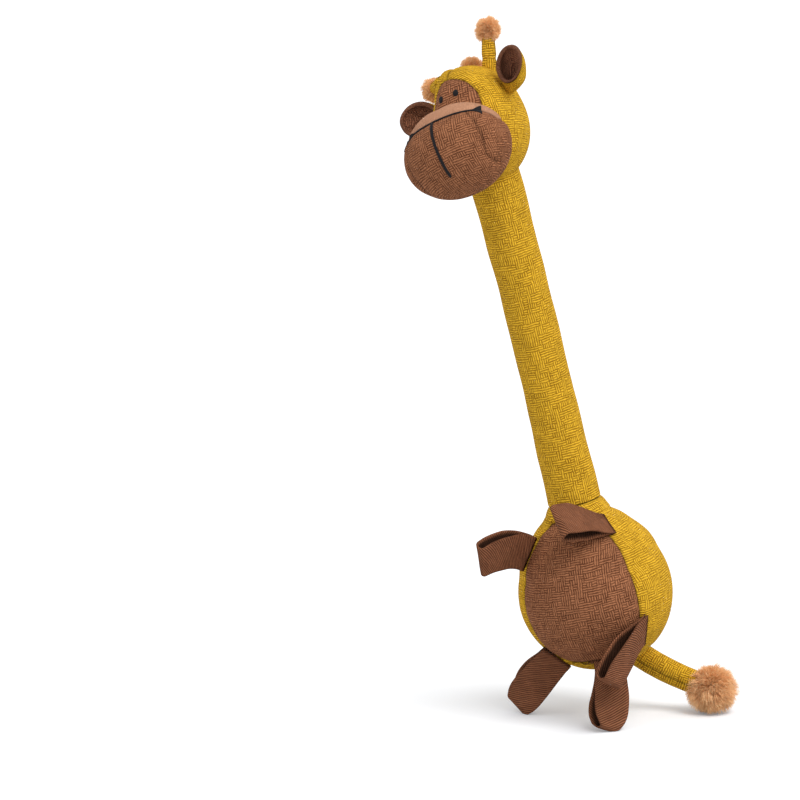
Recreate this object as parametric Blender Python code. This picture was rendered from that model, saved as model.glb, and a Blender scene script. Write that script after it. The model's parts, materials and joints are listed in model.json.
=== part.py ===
"""Plush giraffe with a long bendable neck, made of sewn covers over separate stuffings.

Metres, +Z up. The toy faces -Y, its left side is +X, and it stands on z = 0.
Every joint's pivot is the origin of the piece that it moves.
"""

import math

import bmesh
import bpy
from mathutils import Euler, Matrix, Vector
from mathutils.bvhtree import BVHTree

# Limits below which a length, a share or an angle counts as nothing
TINY_LENGTH = 1e-9
TINY_SHARE = 1e-4
TINY_ANGLE = 1e-6
SHARP_EDGE_ANGLE = math.radians(50)

# Fits
SEAM_GAP = 0.0003
NECK_JOINT_GAP = 0.0008
TAIL_JOINT_GAP = 0.0006
CUT_OVERRUN = 0.004
FLOOR_CUT = 0.0005

# Cloth
COVER_THICKNESS = 0.0018
TAPE_THICKNESS = 0.0014
STITCH_THICKNESS = 0.0009

# Body
BODY_RADIUS = 0.0622
BODY_HEIGHT = 0.0997
BODY_OFFSET_X = 0.0259
BODY_OFFSET_Y = 0.0308
BODY_LEAN = math.radians(12.5)
LEAN_TURN = math.radians(18)
SHOULDER_LATITUDE = math.radians(22.7)
SHOULDER_SHARES = (
    (0.097, 0.147),
    (0.183, 0.251),
    (0.408, 0.373),
    (0.563, 0.492),
    (0.727, 0.612),
    (0.860, 0.731),
    (0.948, 0.867),
)
BELLY_HALF_ANGLE = math.radians(52)
BELLY_LOW_LATITUDE = math.radians(-51)
BELLY_TOP_HEIGHT = 0.067
BODY_SEGMENTS = 32
BODY_ARCS = 9
STUFFING_SEGMENTS = 16

# Squeaker in the belly
SQUEAKER_RADIUS = 0.0225
SQUEAKER_HEIGHT = 0.015
SQUEAKER_WALL = 0.0012
SQUEAKER_CHAMFER = 0.003
SQUEAKER_DEPTH = 0.004
REED_RADIUS = 0.0035
REED_FLANGE_RADIUS = 0.006
REED_FLANGE_HEIGHT = 0.0015
REED_LENGTH = 0.004
SQUEAKER_SEGMENTS = 16

# Pouch of beads low in the body, which keeps the leaning toy on its feet
POUCH_HALF_SIZES = (0.024, 0.024, 0.015)
POUCH_ASIDE = 0.006
POUCH_BACK = 0.014
POUCH_DROP = 0.030
POUCH_SLIT_RADIUS = 0.005
POUCH_SEGMENTS = 16
POUCH_ARCS = 6

# Neck
NECK_SEAM_HEIGHT = 0.0775
NECK_RADIUS = 0.0214
NECK_LEAN_TOP = math.radians(15.1)
NECK_SWELL_SHARES = (1.0, 0.985, 0.965, 0.945, 0.935, 0.932, 0.935, 0.945, 0.965, 0.98, 0.99)
NECK_CORE_RADIUS = 0.0176
NECK_CORE_WALL = 0.0016
NECK_JOINTS = 8
NECK_FIRST_PIVOT = 0.006
NECK_TUBE_SEGMENTS = 20
NECK_CORE_SEGMENTS = 14
NECK_DOME_ARCS = 4
NECK_SOCKET_ARCS = 3

# Head
HEAD_REACH = 0.3146
HEAD_PITCH = math.radians(-17)
HEAD_ROLL = math.radians(-28.5)
HEAD_YAW = math.radians(-5)
SKULL_HALF_WIDTH = 0.0365
SKULL_HALF_DEPTH = 0.042
SKULL_HALF_HEIGHT = 0.0465
SKULL_TOP_SQUARENESS = 3.4
SKULL_LOW_SQUARENESS = 2.0
PATCH_HALF_WIDTH = 0.0232
PATCH_HALF_HEIGHT = 0.027
PATCH_HEIGHT = 0.009
EYE_SPREAD = 0.0079
EYE_HEIGHT = 0.0213
EYE_HALF_WIDTH = 0.0022
EYE_HALF_HEIGHT = 0.0031
EYE_DOME_SHARES = ((0.0, 1.0), (0.5, 0.9), (0.85, 0.6), (1.0, 0.0))
SKULL_SEGMENTS = 24
SKULL_ARCS = 12
SEAT_STEPS = 4
PATCH_SEGMENTS = 24
EYE_SEGMENTS = 12

# Muzzle
MUZZLE_HALF_WIDTH = 0.0457
MUZZLE_HALF_DEPTH = 0.0345
MUZZLE_HALF_HEIGHT = 0.037
MUZZLE_FORWARD = 0.0534
MUZZLE_DROP = 0.028
NOSE_SEAM_SHARE = 0.57
NOSE_STITCH_WIDTH = 0.0015
NOSE_STITCH_HALF_ANGLE = math.radians(52)
NOSE_CORNER_LENGTH = 0.0075
NOSE_CORNER_WIDTH = 0.0062
MOUTH_STITCH_WIDTH = 0.0024
MOUTH_LOW_ANGLE = math.radians(-42)
MOUTH_HIGH_ANGLE = math.radians(33)
MUZZLE_SEGMENTS = 24
MUZZLE_ARCS = 10
STITCH_STEPS = 10

# Ears
EAR_LENGTH = 0.036
EAR_WIDTH = 0.029
EAR_ROOT_WIDTH = 0.003
EAR_LINING_THICKNESS = 0.0012
EAR_CURL_ROOT = math.radians(190)
EAR_CURL_TIP = math.radians(75)
EAR_WIDTH_SHARES = (0.0, 0.68, 0.94, 1.0, 0.95, 0.80, 0.50)
EAR_CORNER_SHARE = 0.12
EAR_PLACE_SHARES = {"left": (0.95, -0.12, 0.28), "right": (-0.91, 0.21, 0.41)}
EAR_AXIS = {"left": (0.655, -0.145, 0.79), "right": (-0.72, -0.49, 0.40)}
EAR_FACING = {"left": (-0.30, -1.0, 0.1), "right": (0.44, -0.86, -0.27)}
EAR_COLUMNS = 6

# Horns and pompoms
HORN_ROOT_RADIUS = 0.0058
HORN_TIP_RADIUS = 0.0052
HORN_LENGTH = 0.0165
HORN_SINK = 0.004
HORN_PLACE_SHARES = {"left": (0.50, 0.08, 0.78), "right": (-0.55, 0.10, 0.80)}
HORN_AXIS = {"left": (0.36, -0.107, 0.93), "right": (-0.62, 0.76, 0.18)}
HORN_POMPOM_RADIUS = 0.0108
CROWN_POMPOM_RADIUS = 0.0098
CROWN_POMPOM_SINK = 0.0035
CROWN_PLACE_SHARES = (0.0, 0.38, 0.925)
HORN_SEGMENTS = 14
HORN_ROOT_ARCS = 4
POMPOM_SEGMENTS = 12
POMPOM_ARCS = 7

# Tail
TAIL_RADIUS = 0.0105
TAIL_TIP_RADIUS = 0.0098
TAIL_LENGTH = 0.067
TAIL_POMPOM_RADIUS = 0.020
TAIL_POMPOM_SINK = 0.007
TAIL_ROOT_DIRECTION = (0.278, 0.496, -0.82)
TAIL_START_SINK = 0.005
TAIL_ROOT_HEADING = (0.79, 0.13, -0.60)
TAIL_TIP_HEADING = (0.96, 0.04, -0.27)
TAIL_STEPS = 7
TAIL_SEGMENTS = 14
TRIM_ARCS = 24

# Straps: arms and legs of folded tape
STRAP_LENGTH = 0.057
STRAP_WIDTH = 0.029
STRAP_OPENING = 0.0028
STRAP_OUTER_SHARES = (0.0, 0.25, 0.5, 0.75, 0.92)
STRAP_INNER_SHARES = (0.22, 0.36, 0.53, 0.75, 0.92)
STRAP_OPEN_SHARE = 0.6
STRAP_FOLD_SHARES = (0.25, 0.75)
STRAP_SLICES = 24
STRAP_ROUND_SHARE = 0.62
OUTLINE_STEPS = 12
# Each strap: angle round the body and latitude of its seam, the line that it is sewn along, its
# heading at the root and at the tip, the line across its tip, and how wide its tip stays
STRAPS = {
    "arm_right": {
        "seam": (-52, 44),
        "sewn_along": "upward",
        "root_heading": (-0.373, -0.831, 0.412),
        "tip_heading": (-0.416, -0.737, -0.533),
        "tip_width": (0.042, -0.368, 0.929),
        "tip_width_share": 0.93,
    },
    "arm_left": {
        "seam": (52, 62),
        "sewn_along": "upward",
        "root_heading": (-0.309, -0.934, 0.181),
        "tip_heading": (-0.443, -0.894, 0.066),
        "tip_width": (-0.494, 0.332, 0.804),
        "tip_width_share": 0.85,
    },
    "leg_right": {
        "seam": (-52, -43),
        "sewn_along": "upward",
        "root_heading": (-0.70, 0.23, -0.68),
        "tip_heading": (-0.33, 0.57, -0.76),
        "tip_width": (-0.80, -0.08, 0.59),
        "tip_width_share": 0.85,
    },
    "leg_left": {
        "seam": (52, -28),
        "sewn_along": "upward",
        "root_heading": (-0.27, -0.42, -0.87),
        "tip_heading": (-0.33, -0.36, -0.87),
        "tip_width": (0.27, 0.84, -0.47),
        "tip_width_share": 0.75,
    },
    "leg_front": {
        "seam": (16, -51),
        "sewn_along": "level",
        "root_heading": (0.0, -0.34, -0.94),
        "tip_heading": (-0.10, -0.33, -0.94),
        "tip_width": (0.81, 0.57, 0.04),
        "tip_width_share": 0.55,
    },
}
FLOOR_LEGS = ("leg_right", "leg_front")
DROOP_LIMIT = math.radians(25)
DROOP_STEPS = 30

# Colours: base colour and roughness
COLOURS = {
    "mustard_cloth": ((0.52, 0.32, 0.03), 0.95),
    "brown_cloth": ((0.20, 0.09, 0.055), 0.95),
    "twill_tape": ((0.14, 0.058, 0.036), 0.92),
    "peach_fur": ((0.62, 0.32, 0.16), 0.98),
    "black_thread": ((0.008, 0.007, 0.008), 0.8),
    "stuffing": ((0.80, 0.80, 0.78), 1.0),
    "squeaker_plastic": ((0.75, 0.78, 0.80), 0.4),
    "bead_pouch": ((0.62, 0.60, 0.55), 0.9),
}


def material(name):
    """The Principled material of that name, made once."""
    found = bpy.data.materials.get(name)
    if found:
        return found
    colour, roughness = COLOURS[name]
    made = bpy.data.materials.new(name)
    made.use_nodes = True
    shader = made.node_tree.nodes["Principled BSDF"]
    shader.inputs["Base Color"].default_value = (*colour, 1.0)
    shader.inputs["Roughness"].default_value = roughness
    shader.inputs["Metallic"].default_value = 0.0
    made.diffuse_color = (*colour, 1.0)
    return made


def solid(name, points, faces, finish=None, origin=None):
    """A closed mesh object from world points, with its origin at the given place."""
    centre = Vector(origin) if origin is not None else Vector((0, 0, 0))
    mesh = bpy.data.meshes.new(name)
    mesh.from_pydata([Vector(p) - centre for p in points], [], faces)
    work = bmesh.new()
    work.from_mesh(mesh)
    bmesh.ops.recalc_face_normals(work, faces=work.faces)
    work.to_mesh(mesh)
    work.free()
    mesh.shade_smooth()
    mesh.set_sharp_from_angle(angle=SHARP_EDGE_ANGLE)
    made = bpy.data.objects.new(name, mesh)
    made.location = centre
    bpy.context.scene.collection.objects.link(made)
    if finish:
        mesh.materials.append(material(finish))
    return made


def cutter(made):
    """Marks an object as a shape that only cuts."""
    made.hide_render = True
    made.display_type = "WIRE"
    return made


def apply_tool(made, tool, operation):
    """Cuts made with tool, or keeps what they share."""
    step = made.modifiers.new(f"{operation.lower()} {tool.name}", "BOOLEAN")
    step.operation = operation
    step.solver = "EXACT"
    step.object = tool
    return made


def cut(made, *tools):
    """Takes each tool's shape away from made."""
    for tool in tools:
        apply_tool(made, tool, "DIFFERENCE")
    return made


def keep(made, *tools):
    """Keeps only what made shares with each tool."""
    for tool in tools:
        apply_tool(made, tool, "INTERSECT")
    return made


def carry(child, parent):
    """child moves with parent, and stays where it is."""
    child.parent = parent
    child.matrix_parent_inverse = Matrix.Translation(-world_place(parent))
    return child


def world_place(made):
    """Where an object's origin is, through its parents."""
    return Vector(made.location)


def frame(origin, up, front):
    """A placement whose +Z runs along up and whose -Y looks to front."""
    z_axis = Vector(up).normalized()
    towards = Vector(front)
    y_axis = -(towards - z_axis * towards.dot(z_axis)).normalized()
    x_axis = y_axis.cross(z_axis)
    turn = Matrix((x_axis, y_axis, z_axis)).transposed().to_4x4()
    return Matrix.Translation(Vector(origin)) @ turn


def slide(first, second, share):
    """A unit vector between two, turned by a share of the angle between them."""
    one = Vector(first).normalized()
    other = Vector(second).normalized()
    angle = one.angle(other)
    if angle < TINY_ANGLE:
        return one
    mixed = one * math.sin((1 - share) * angle) + other * math.sin(share * angle)
    return mixed.normalized()


def square_to(vector, axis):
    """The part of a vector square to an axis, as a unit vector."""
    along = Vector(axis).normalized()
    return (Vector(vector) - along * Vector(vector).dot(along)).normalized()


def turned_rings(loop, segments, placement):
    """The points of a closed loop of (radius, height) turned round the placement's Z, and its rings."""
    points = []
    rings = []
    for radius, height in loop:
        if radius < TINY_LENGTH:
            rings.append([len(points)])
            points.append(placement @ Vector((0, 0, height)))
            continue
        ring = []
        for number in range(segments):
            angle = math.tau * number / segments
            ring.append(len(points))
            spot = Vector((radius * math.sin(angle), -radius * math.cos(angle), height))
            points.append(placement @ spot)
        rings.append(ring)
    return points, rings


def turned(name, loop, segments, placement, finish=None, origin=None):
    """A solid of revolution from a closed loop of (radius, height) points round the placement's Z."""
    points, rings = turned_rings(loop, segments, placement)
    faces = []
    for number, ring in enumerate(rings):
        faces += ring_faces(ring, rings[(number + 1) % len(rings)])
    return solid(name, points, faces, finish, origin)


def ring_faces(ring, following):
    """The faces between two rings, either of which may be one pole point."""
    if len(ring) == 1 and len(following) == 1:
        return []
    count = max(len(ring), len(following))
    faces = []
    for number in range(count):
        after = (number + 1) % count
        if len(ring) == 1:
            faces.append((ring[0], following[number], following[after]))
        elif len(following) == 1:
            faces.append((ring[number], following[0], ring[after]))
        else:
            faces.append((ring[number], following[number], following[after], ring[after]))
    return faces


def arc(radius, start, end, steps, height=0.0):
    """Points (radius, height) on a circle round the axis' point at height, by latitude."""
    spots = []
    for number in range(steps + 1):
        angle = start + (end - start) * number / steps
        across = abs(radius * math.cos(angle))
        on_axis = across < radius * TINY_SHARE
        spots.append((0.0 if on_axis else across, height + radius * math.sin(angle)))
    return spots


def ellipsoid(name, half_sizes, placement, segments, arcs, finish=None, origin=None):
    """A closed ellipsoid with its poles up and down in the placement."""
    quarter = math.pi / 2
    loop = arc(1.0, quarter, -quarter, arcs)
    stretched = placement @ Matrix.Diagonal((*half_sizes, 1.0))
    return turned(name, loop, segments, stretched, finish, origin)


def box(name, low, high, placement):
    """A cutting box between two corners of the placement."""
    corners = []
    for x in (low[0], high[0]):
        for y in (low[1], high[1]):
            for z in (low[2], high[2]):
                corners.append(placement @ Vector((x, y, z)))
    faces = [(0, 1, 3, 2), (4, 6, 7, 5), (0, 4, 5, 1), (2, 3, 7, 6), (0, 2, 6, 4), (1, 5, 7, 3)]
    return cutter(solid(name, corners, faces))


def drum(name, half_width, half_height, low, high, placement, segments):
    """A cutting drum with an oval section, along the placement's Z."""
    stretched = placement @ Matrix.Diagonal((half_width, half_height, 1.0, 1.0))
    loop = [(0.0, high), (1.0, high), (1.0, low), (0.0, low)]
    return cutter(turned(name, loop, segments, stretched))


def sweep(name, stations, segments, finish=None, origin=None):
    """A round tube or rod through stations of (centre, heading, outer radius, inner radius)."""
    points = []
    rings = []
    side = Vector((1, 0, 0))
    layers = (2, 3) if stations[0][3] > 0 else (2,)
    for layer in layers:
        row = []
        for station in stations:
            across = square_to(side, station[1])
            over = Vector(station[1]).normalized().cross(across)
            ring = []
            for number in range(segments):
                angle = math.tau * number / segments
                offset = across * math.cos(angle) + over * math.sin(angle)
                ring.append(len(points))
                points.append(Vector(station[0]) + offset * station[layer])
            row.append(ring)
        rings.append(row)
    faces = []
    for row in rings:
        for ring, following in zip(row, row[1:]):
            faces += ring_faces(ring, following)
    if len(rings) == 2:
        faces += ring_faces(rings[0][0], rings[1][0])
        faces += ring_faces(rings[0][-1], rings[1][-1])
    else:
        faces.append(tuple(rings[0][0]))
        faces.append(tuple(rings[0][-1]))
    return solid(name, points, faces, finish, origin)


def offset_line(line, distance):
    """The points of a line of (radius, height), moved to its inner side."""
    moved = []
    for number, (radius, height) in enumerate(line):
        before = line[max(number - 1, 0)]
        after = line[min(number + 1, len(line) - 1)]
        along = Vector((after[0] - before[0], after[1] - before[1])).normalized()
        inner = Vector((along.y, -along.x))
        if radius == 0:
            moved.append((0.0, height + distance))
        else:
            moved.append((radius + inner.x * distance, height + inner.y * distance))
    return moved


# Places that several sub-parts share
LEAN_WAY = Vector((-math.cos(LEAN_TURN), -math.sin(LEAN_TURN), 0.0))
UP = Vector((0, 0, 1))
FRONT = Vector((0, -1, 0))
BODY_CENTRE = Vector((BODY_OFFSET_X, BODY_OFFSET_Y, BODY_HEIGHT))
BODY_AXIS = LEAN_WAY * math.sin(BODY_LEAN) + UP * math.cos(BODY_LEAN)
BODY_FRAME = frame(BODY_CENTRE, BODY_AXIS, FRONT)


def neck_heading(distance):
    """The neck's direction at a distance along it from the neck seam."""
    lean = BODY_LEAN + (NECK_LEAN_TOP - BODY_LEAN) * distance / HEAD_REACH
    return LEAN_WAY * math.sin(lean) + UP * math.cos(lean)


def neck_place(distance):
    """The neck's centre at a distance along it from the neck seam."""
    rate = (NECK_LEAN_TOP - BODY_LEAN) / HEAD_REACH
    lean = BODY_LEAN + rate * distance
    aside = (math.cos(BODY_LEAN) - math.cos(lean)) / rate
    rise = (math.sin(lean) - math.sin(BODY_LEAN)) / rate
    return BODY_CENTRE + BODY_AXIS * NECK_SEAM_HEIGHT + LEAN_WAY * aside + UP * rise


SKULL_CENTRE = neck_place(HEAD_REACH)
HEAD_TURN = Euler((HEAD_PITCH, HEAD_ROLL, HEAD_YAW), "XYZ").to_matrix()
HEAD_FRAME = Matrix.Translation(SKULL_CENTRE) @ HEAD_TURN.to_4x4()
SKULL_SIZES = Vector((SKULL_HALF_WIDTH, SKULL_HALF_DEPTH, SKULL_HALF_HEIGHT))
MUZZLE_SIZES = Vector((MUZZLE_HALF_WIDTH, MUZZLE_HALF_DEPTH, MUZZLE_HALF_HEIGHT))
MUZZLE_FRAME = HEAD_FRAME @ Matrix.Translation(Vector((0, -MUZZLE_FORWARD, -MUZZLE_DROP)))


def squared(direction):
    """The point of a unit ball, squared off towards a cube above its middle, along a direction."""
    rise = max(0.0, Vector(direction).normalized().z)
    squareness = SKULL_LOW_SQUARENESS + (SKULL_TOP_SQUARENESS - SKULL_LOW_SQUARENESS) * rise**2
    total = sum(abs(part) ** squareness for part in direction)
    return Vector(direction) / total ** (1 / squareness), squareness


def skull_surface(shares):
    """A world point on the skull and its outward direction, towards shares of the half sizes."""
    unit, squareness = squared(shares)
    spot = Vector([share * size for share, size in zip(unit, SKULL_SIZES)])
    slope = Vector(
        [
            math.copysign(abs(share) ** (squareness - 1), share) / size
            for share, size in zip(unit, SKULL_SIZES)
        ]
    )
    return HEAD_FRAME @ spot, (HEAD_TURN @ slope).normalized()


def skull_reach(heading):
    """The distance from the skull's centre to its surface along a world direction."""
    local = HEAD_TURN.transposed() @ Vector(heading).normalized()
    scaled = Vector([part / size for part, size in zip(local, SKULL_SIZES)])
    return squared(scaled)[0].length / scaled.length


def seated(start, outward, spots, surface):
    """Where a piece's origin comes, moved along outward until its spots clear a surface by a gap."""
    place = start
    for _ in range(SEAT_STEPS):
        heights = []
        for spot in spots:
            nearest, normal, _, distance = surface.find_nearest(place + spot)
            beyond = (place + spot - nearest).dot(normal) > 0
            heights.append(distance if beyond else -distance)
        place = place + outward * (SEAM_GAP - min(heights))
    return place


def facets(made):
    """A solid's facets in the world, to measure distances from."""
    points = [made.location + vertex.co for vertex in made.data.vertices]
    return BVHTree.FromPolygons(points, [tuple(face.vertices) for face in made.data.polygons])


def skull(name, growth, finish=None, origin=None):
    """A closed skull form, grown by a distance all round."""
    made = ellipsoid(name, (1, 1, 1), Matrix(), SKULL_SEGMENTS, SKULL_ARCS, finish)
    sizes = grown(SKULL_SIZES, growth)
    centre = Vector(origin) if origin is not None else Vector((0, 0, 0))
    for vertex in made.data.vertices:
        unit = squared(vertex.co)[0]
        spot = Vector([part * size for part, size in zip(unit, sizes)])
        vertex.co = HEAD_FRAME @ spot - centre
    made.location = centre
    return made


NECK_LAST_PIVOT = HEAD_REACH - skull_reach(-neck_heading(HEAD_REACH))
NECK_PITCH = (NECK_LAST_PIVOT - NECK_FIRST_PIVOT) / (NECK_JOINTS - 1)
NECK_PIVOTS = [NECK_FIRST_PIVOT + NECK_PITCH * number for number in range(NECK_JOINTS)]
HEAD_PIVOT = neck_place(NECK_LAST_PIVOT)


def grown(sizes, distance):
    """Half sizes made larger, or smaller, by a distance all round."""
    return Vector([size + distance for size in sizes])


def body_outline(inset):
    """The body's outline from the neck seam to its lowest point, inset by a distance."""
    ball_radius = BODY_RADIUS * math.cos(SHOULDER_LATITUDE)
    ball_height = BODY_RADIUS * math.sin(SHOULDER_LATITUDE)
    line = [(NECK_RADIUS, NECK_SEAM_HEIGHT)]
    for across, down in SHOULDER_SHARES:
        radius = NECK_RADIUS + (ball_radius - NECK_RADIUS) * across
        height = NECK_SEAM_HEIGHT + (ball_height - NECK_SEAM_HEIGHT) * down
        line.append((radius, height))
    line += arc(BODY_RADIUS, SHOULDER_LATITUDE, -math.pi / 2, BODY_ARCS)
    return offset_line(line, inset) if inset else line


def body_ball(name, inset, top):
    """The closed body form, inset by a distance, with its neck carried up to top."""
    line = body_outline(inset)
    return turned(name, [(0.0, top), (line[0][0], top), *line], BODY_SEGMENTS, BODY_FRAME)


def belly_wedge(name, growth):
    """The wedge that holds the belly panel, grown by a distance at each seam."""
    back = growth / math.sin(BELLY_HALF_ANGLE)
    reach = 2 * BODY_RADIUS
    low = BODY_RADIUS * math.sin(BELLY_LOW_LATITUDE) - growth
    high = BELLY_TOP_HEIGHT + growth
    side = reach * math.sin(BELLY_HALF_ANGLE)
    ahead = back - reach * math.cos(BELLY_HALF_ANGLE)
    outline = [(0.0, back), (-side, ahead), (side, ahead)]
    points = []
    for height in (low, high):
        for x, y in outline:
            points.append(BODY_FRAME @ Vector((x, y, height)))
    faces = [(0, 1, 2), (3, 5, 4), (0, 3, 4, 1), (1, 4, 5, 2), (2, 5, 3, 0)]
    return cutter(solid(name, points, faces))


def build_body():
    """Belly panel, two back panels, the stuffing with its neck ball, and what it holds."""
    hollow = cutter(body_ball("body_hollow", COVER_THICKNESS, NECK_SEAM_HEIGHT + CUT_OVERRUN))
    half = SEAM_GAP / 2
    belly_tool = belly_wedge("belly_tool", -half)
    rest_tool = belly_wedge("belly_gap_tool", half)

    panel = body_ball("belly_panel", 0.0, NECK_SEAM_HEIGHT)
    panel.data.materials.append(material("brown_cloth"))
    keep(panel, belly_tool)
    cut(panel, hollow)

    reach = 2 * BODY_RADIUS
    for side, sign in (("left", 1), ("right", -1)):
        inner, outer = sorted((half * sign, reach * sign))
        half_tool = box(
            f"back_{side}_tool", (inner, -reach, -reach), (outer, reach, reach), BODY_FRAME
        )
        panel = body_ball(f"back_panel_{side}", 0.0, NECK_SEAM_HEIGHT)
        panel.data.materials.append(material("mustard_cloth"))
        keep(panel, half_tool)
        cut(panel, rest_tool, hollow)
    return build_body_filling()


def build_body_filling():
    """The body's stuffing, with the squeaker and the bead pouch in their pockets."""
    line = body_outline(COVER_THICKNESS + SEAM_GAP)
    first_pivot = NECK_SEAM_HEIGHT + NECK_FIRST_PIVOT
    ball = arc(NECK_CORE_RADIUS, math.pi / 2, 0.0, NECK_DOME_ARCS, first_pivot)
    below = [spot for spot in line if spot[0] > NECK_CORE_RADIUS or spot[1] < 0]
    filling = turned(
        "body_stuffing", [*ball, *below], STUFFING_SEGMENTS, BODY_FRAME, "stuffing"
    )
    reach = math.sqrt((BODY_RADIUS - COVER_THICKNESS) ** 2 - SQUEAKER_RADIUS**2)
    seat = BODY_FRAME @ Vector((0, SQUEAKER_DEPTH - reach, 0))
    inward = BODY_FRAME.to_3x3() @ Vector((0, 1, 0))
    seat_frame = frame(seat, inward, UP)
    pocket_radius = SQUEAKER_RADIUS + SEAM_GAP
    pocket_end = SQUEAKER_HEIGHT + REED_FLANGE_HEIGHT + 2 * SEAM_GAP
    pocket = drum(
        "squeaker_pocket",
        pocket_radius,
        pocket_radius,
        -BODY_RADIUS,
        pocket_end,
        seat_frame,
        SQUEAKER_SEGMENTS,
    )
    cut(filling, pocket, *build_pouch())
    build_squeaker(seat_frame)
    return filling


def build_pouch():
    """The bead pouch, and the pocket and slit that it takes out of the stuffing."""
    place = Vector((POUCH_ASIDE, POUCH_BACK, -POUCH_DROP))
    placement = BODY_FRAME @ Matrix.Translation(place)
    ellipsoid(
        "weight_pouch", POUCH_HALF_SIZES, placement, POUCH_SEGMENTS, POUCH_ARCS, "bead_pouch"
    )
    hollow_sizes = grown(POUCH_HALF_SIZES, SEAM_GAP)
    hollow = ellipsoid("pouch_pocket", hollow_sizes, placement, POUCH_SEGMENTS, POUCH_ARCS)
    slit = drum(
        "pouch_slit",
        POUCH_SLIT_RADIUS,
        POUCH_SLIT_RADIUS,
        0.0,
        BODY_RADIUS,
        placement @ frame((0, 0, 0), place, FRONT),
        POUCH_SEGMENTS,
    )
    return cutter(hollow), slit


def build_squeaker(placement):
    """A hollow pill of thin plastic, with a reed plug in the hole of its rear face."""
    edge = SQUEAKER_RADIUS - SQUEAKER_CHAMFER
    wall = SQUEAKER_WALL
    top = SQUEAKER_HEIGHT
    bore = REED_RADIUS + SEAM_GAP
    shell = [
        (0.0, 0.0),
        (edge, 0.0),
        (SQUEAKER_RADIUS, SQUEAKER_CHAMFER),
        (SQUEAKER_RADIUS, top - SQUEAKER_CHAMFER),
        (edge, top),
        (bore, top),
        (bore, top - wall),
        (edge - wall / 2, top - wall),
        (SQUEAKER_RADIUS - wall, top - SQUEAKER_CHAMFER - wall / 2),
        (SQUEAKER_RADIUS - wall, SQUEAKER_CHAMFER + wall / 2),
        (edge - wall / 2, wall),
        (0.0, wall),
    ]
    turned("squeaker_case", shell, SQUEAKER_SEGMENTS, placement, "squeaker_plastic")
    seat = top + SEAM_GAP
    plug = [
        (0.0, seat - REED_LENGTH),
        (REED_RADIUS, seat - REED_LENGTH),
        (REED_RADIUS, seat),
        (REED_FLANGE_RADIUS, seat),
        (REED_FLANGE_RADIUS, seat + REED_FLANGE_HEIGHT),
        (0.0, seat + REED_FLANGE_HEIGHT),
    ]
    turned("squeaker_reed", plug, SQUEAKER_SEGMENTS, placement, "squeaker_plastic")


def neck_frame(distance):
    """The placement at a distance along the neck, with Z along it."""
    return frame(neck_place(distance), neck_heading(distance), FRONT)


def build_neck(carrier):
    """The chain of neck stuffings, each cupped on the ball of the one below, and the neck tube."""
    socket = NECK_CORE_RADIUS + NECK_JOINT_GAP
    rim = math.acos((NECK_CORE_RADIUS - NECK_CORE_WALL) / socket)
    for number in range(NECK_JOINTS - 1):
        low, high = NECK_PIVOTS[number], NECK_PIVOTS[number + 1]
        cup = arc(socket, math.pi / 2, rim, NECK_SOCKET_ARCS)
        wall_foot = (NECK_CORE_RADIUS, cup[-1][1])
        ball = arc(NECK_CORE_RADIUS, 0.0, math.pi / 2, NECK_DOME_ARCS, high - low)
        link = turned(
            f"neck_stuffing_{number + 1}",
            [*cup, wall_foot, *ball],
            NECK_CORE_SEGMENTS,
            neck_frame(low),
            "stuffing",
            neck_place(low),
        )
        carry(link, carrier)
        carrier = link

    stations = []
    last = len(NECK_SWELL_SHARES) - 1
    for number, share in enumerate(NECK_SWELL_SHARES):
        distance = SEAM_GAP + (NECK_LAST_PIVOT + NECK_RADIUS - SEAM_GAP) * number / last
        radius = NECK_RADIUS * share
        centre = neck_place(distance)
        stations.append((centre, neck_heading(distance), radius, radius - COVER_THICKNESS))
    tube = sweep("neck_tube", stations, NECK_TUBE_SEGMENTS, "mustard_cloth")
    skull_tool = cutter(skull("skull_gap_tool", SEAM_GAP))
    cut(tube, skull_tool)
    return carrier, skull_tool


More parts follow.
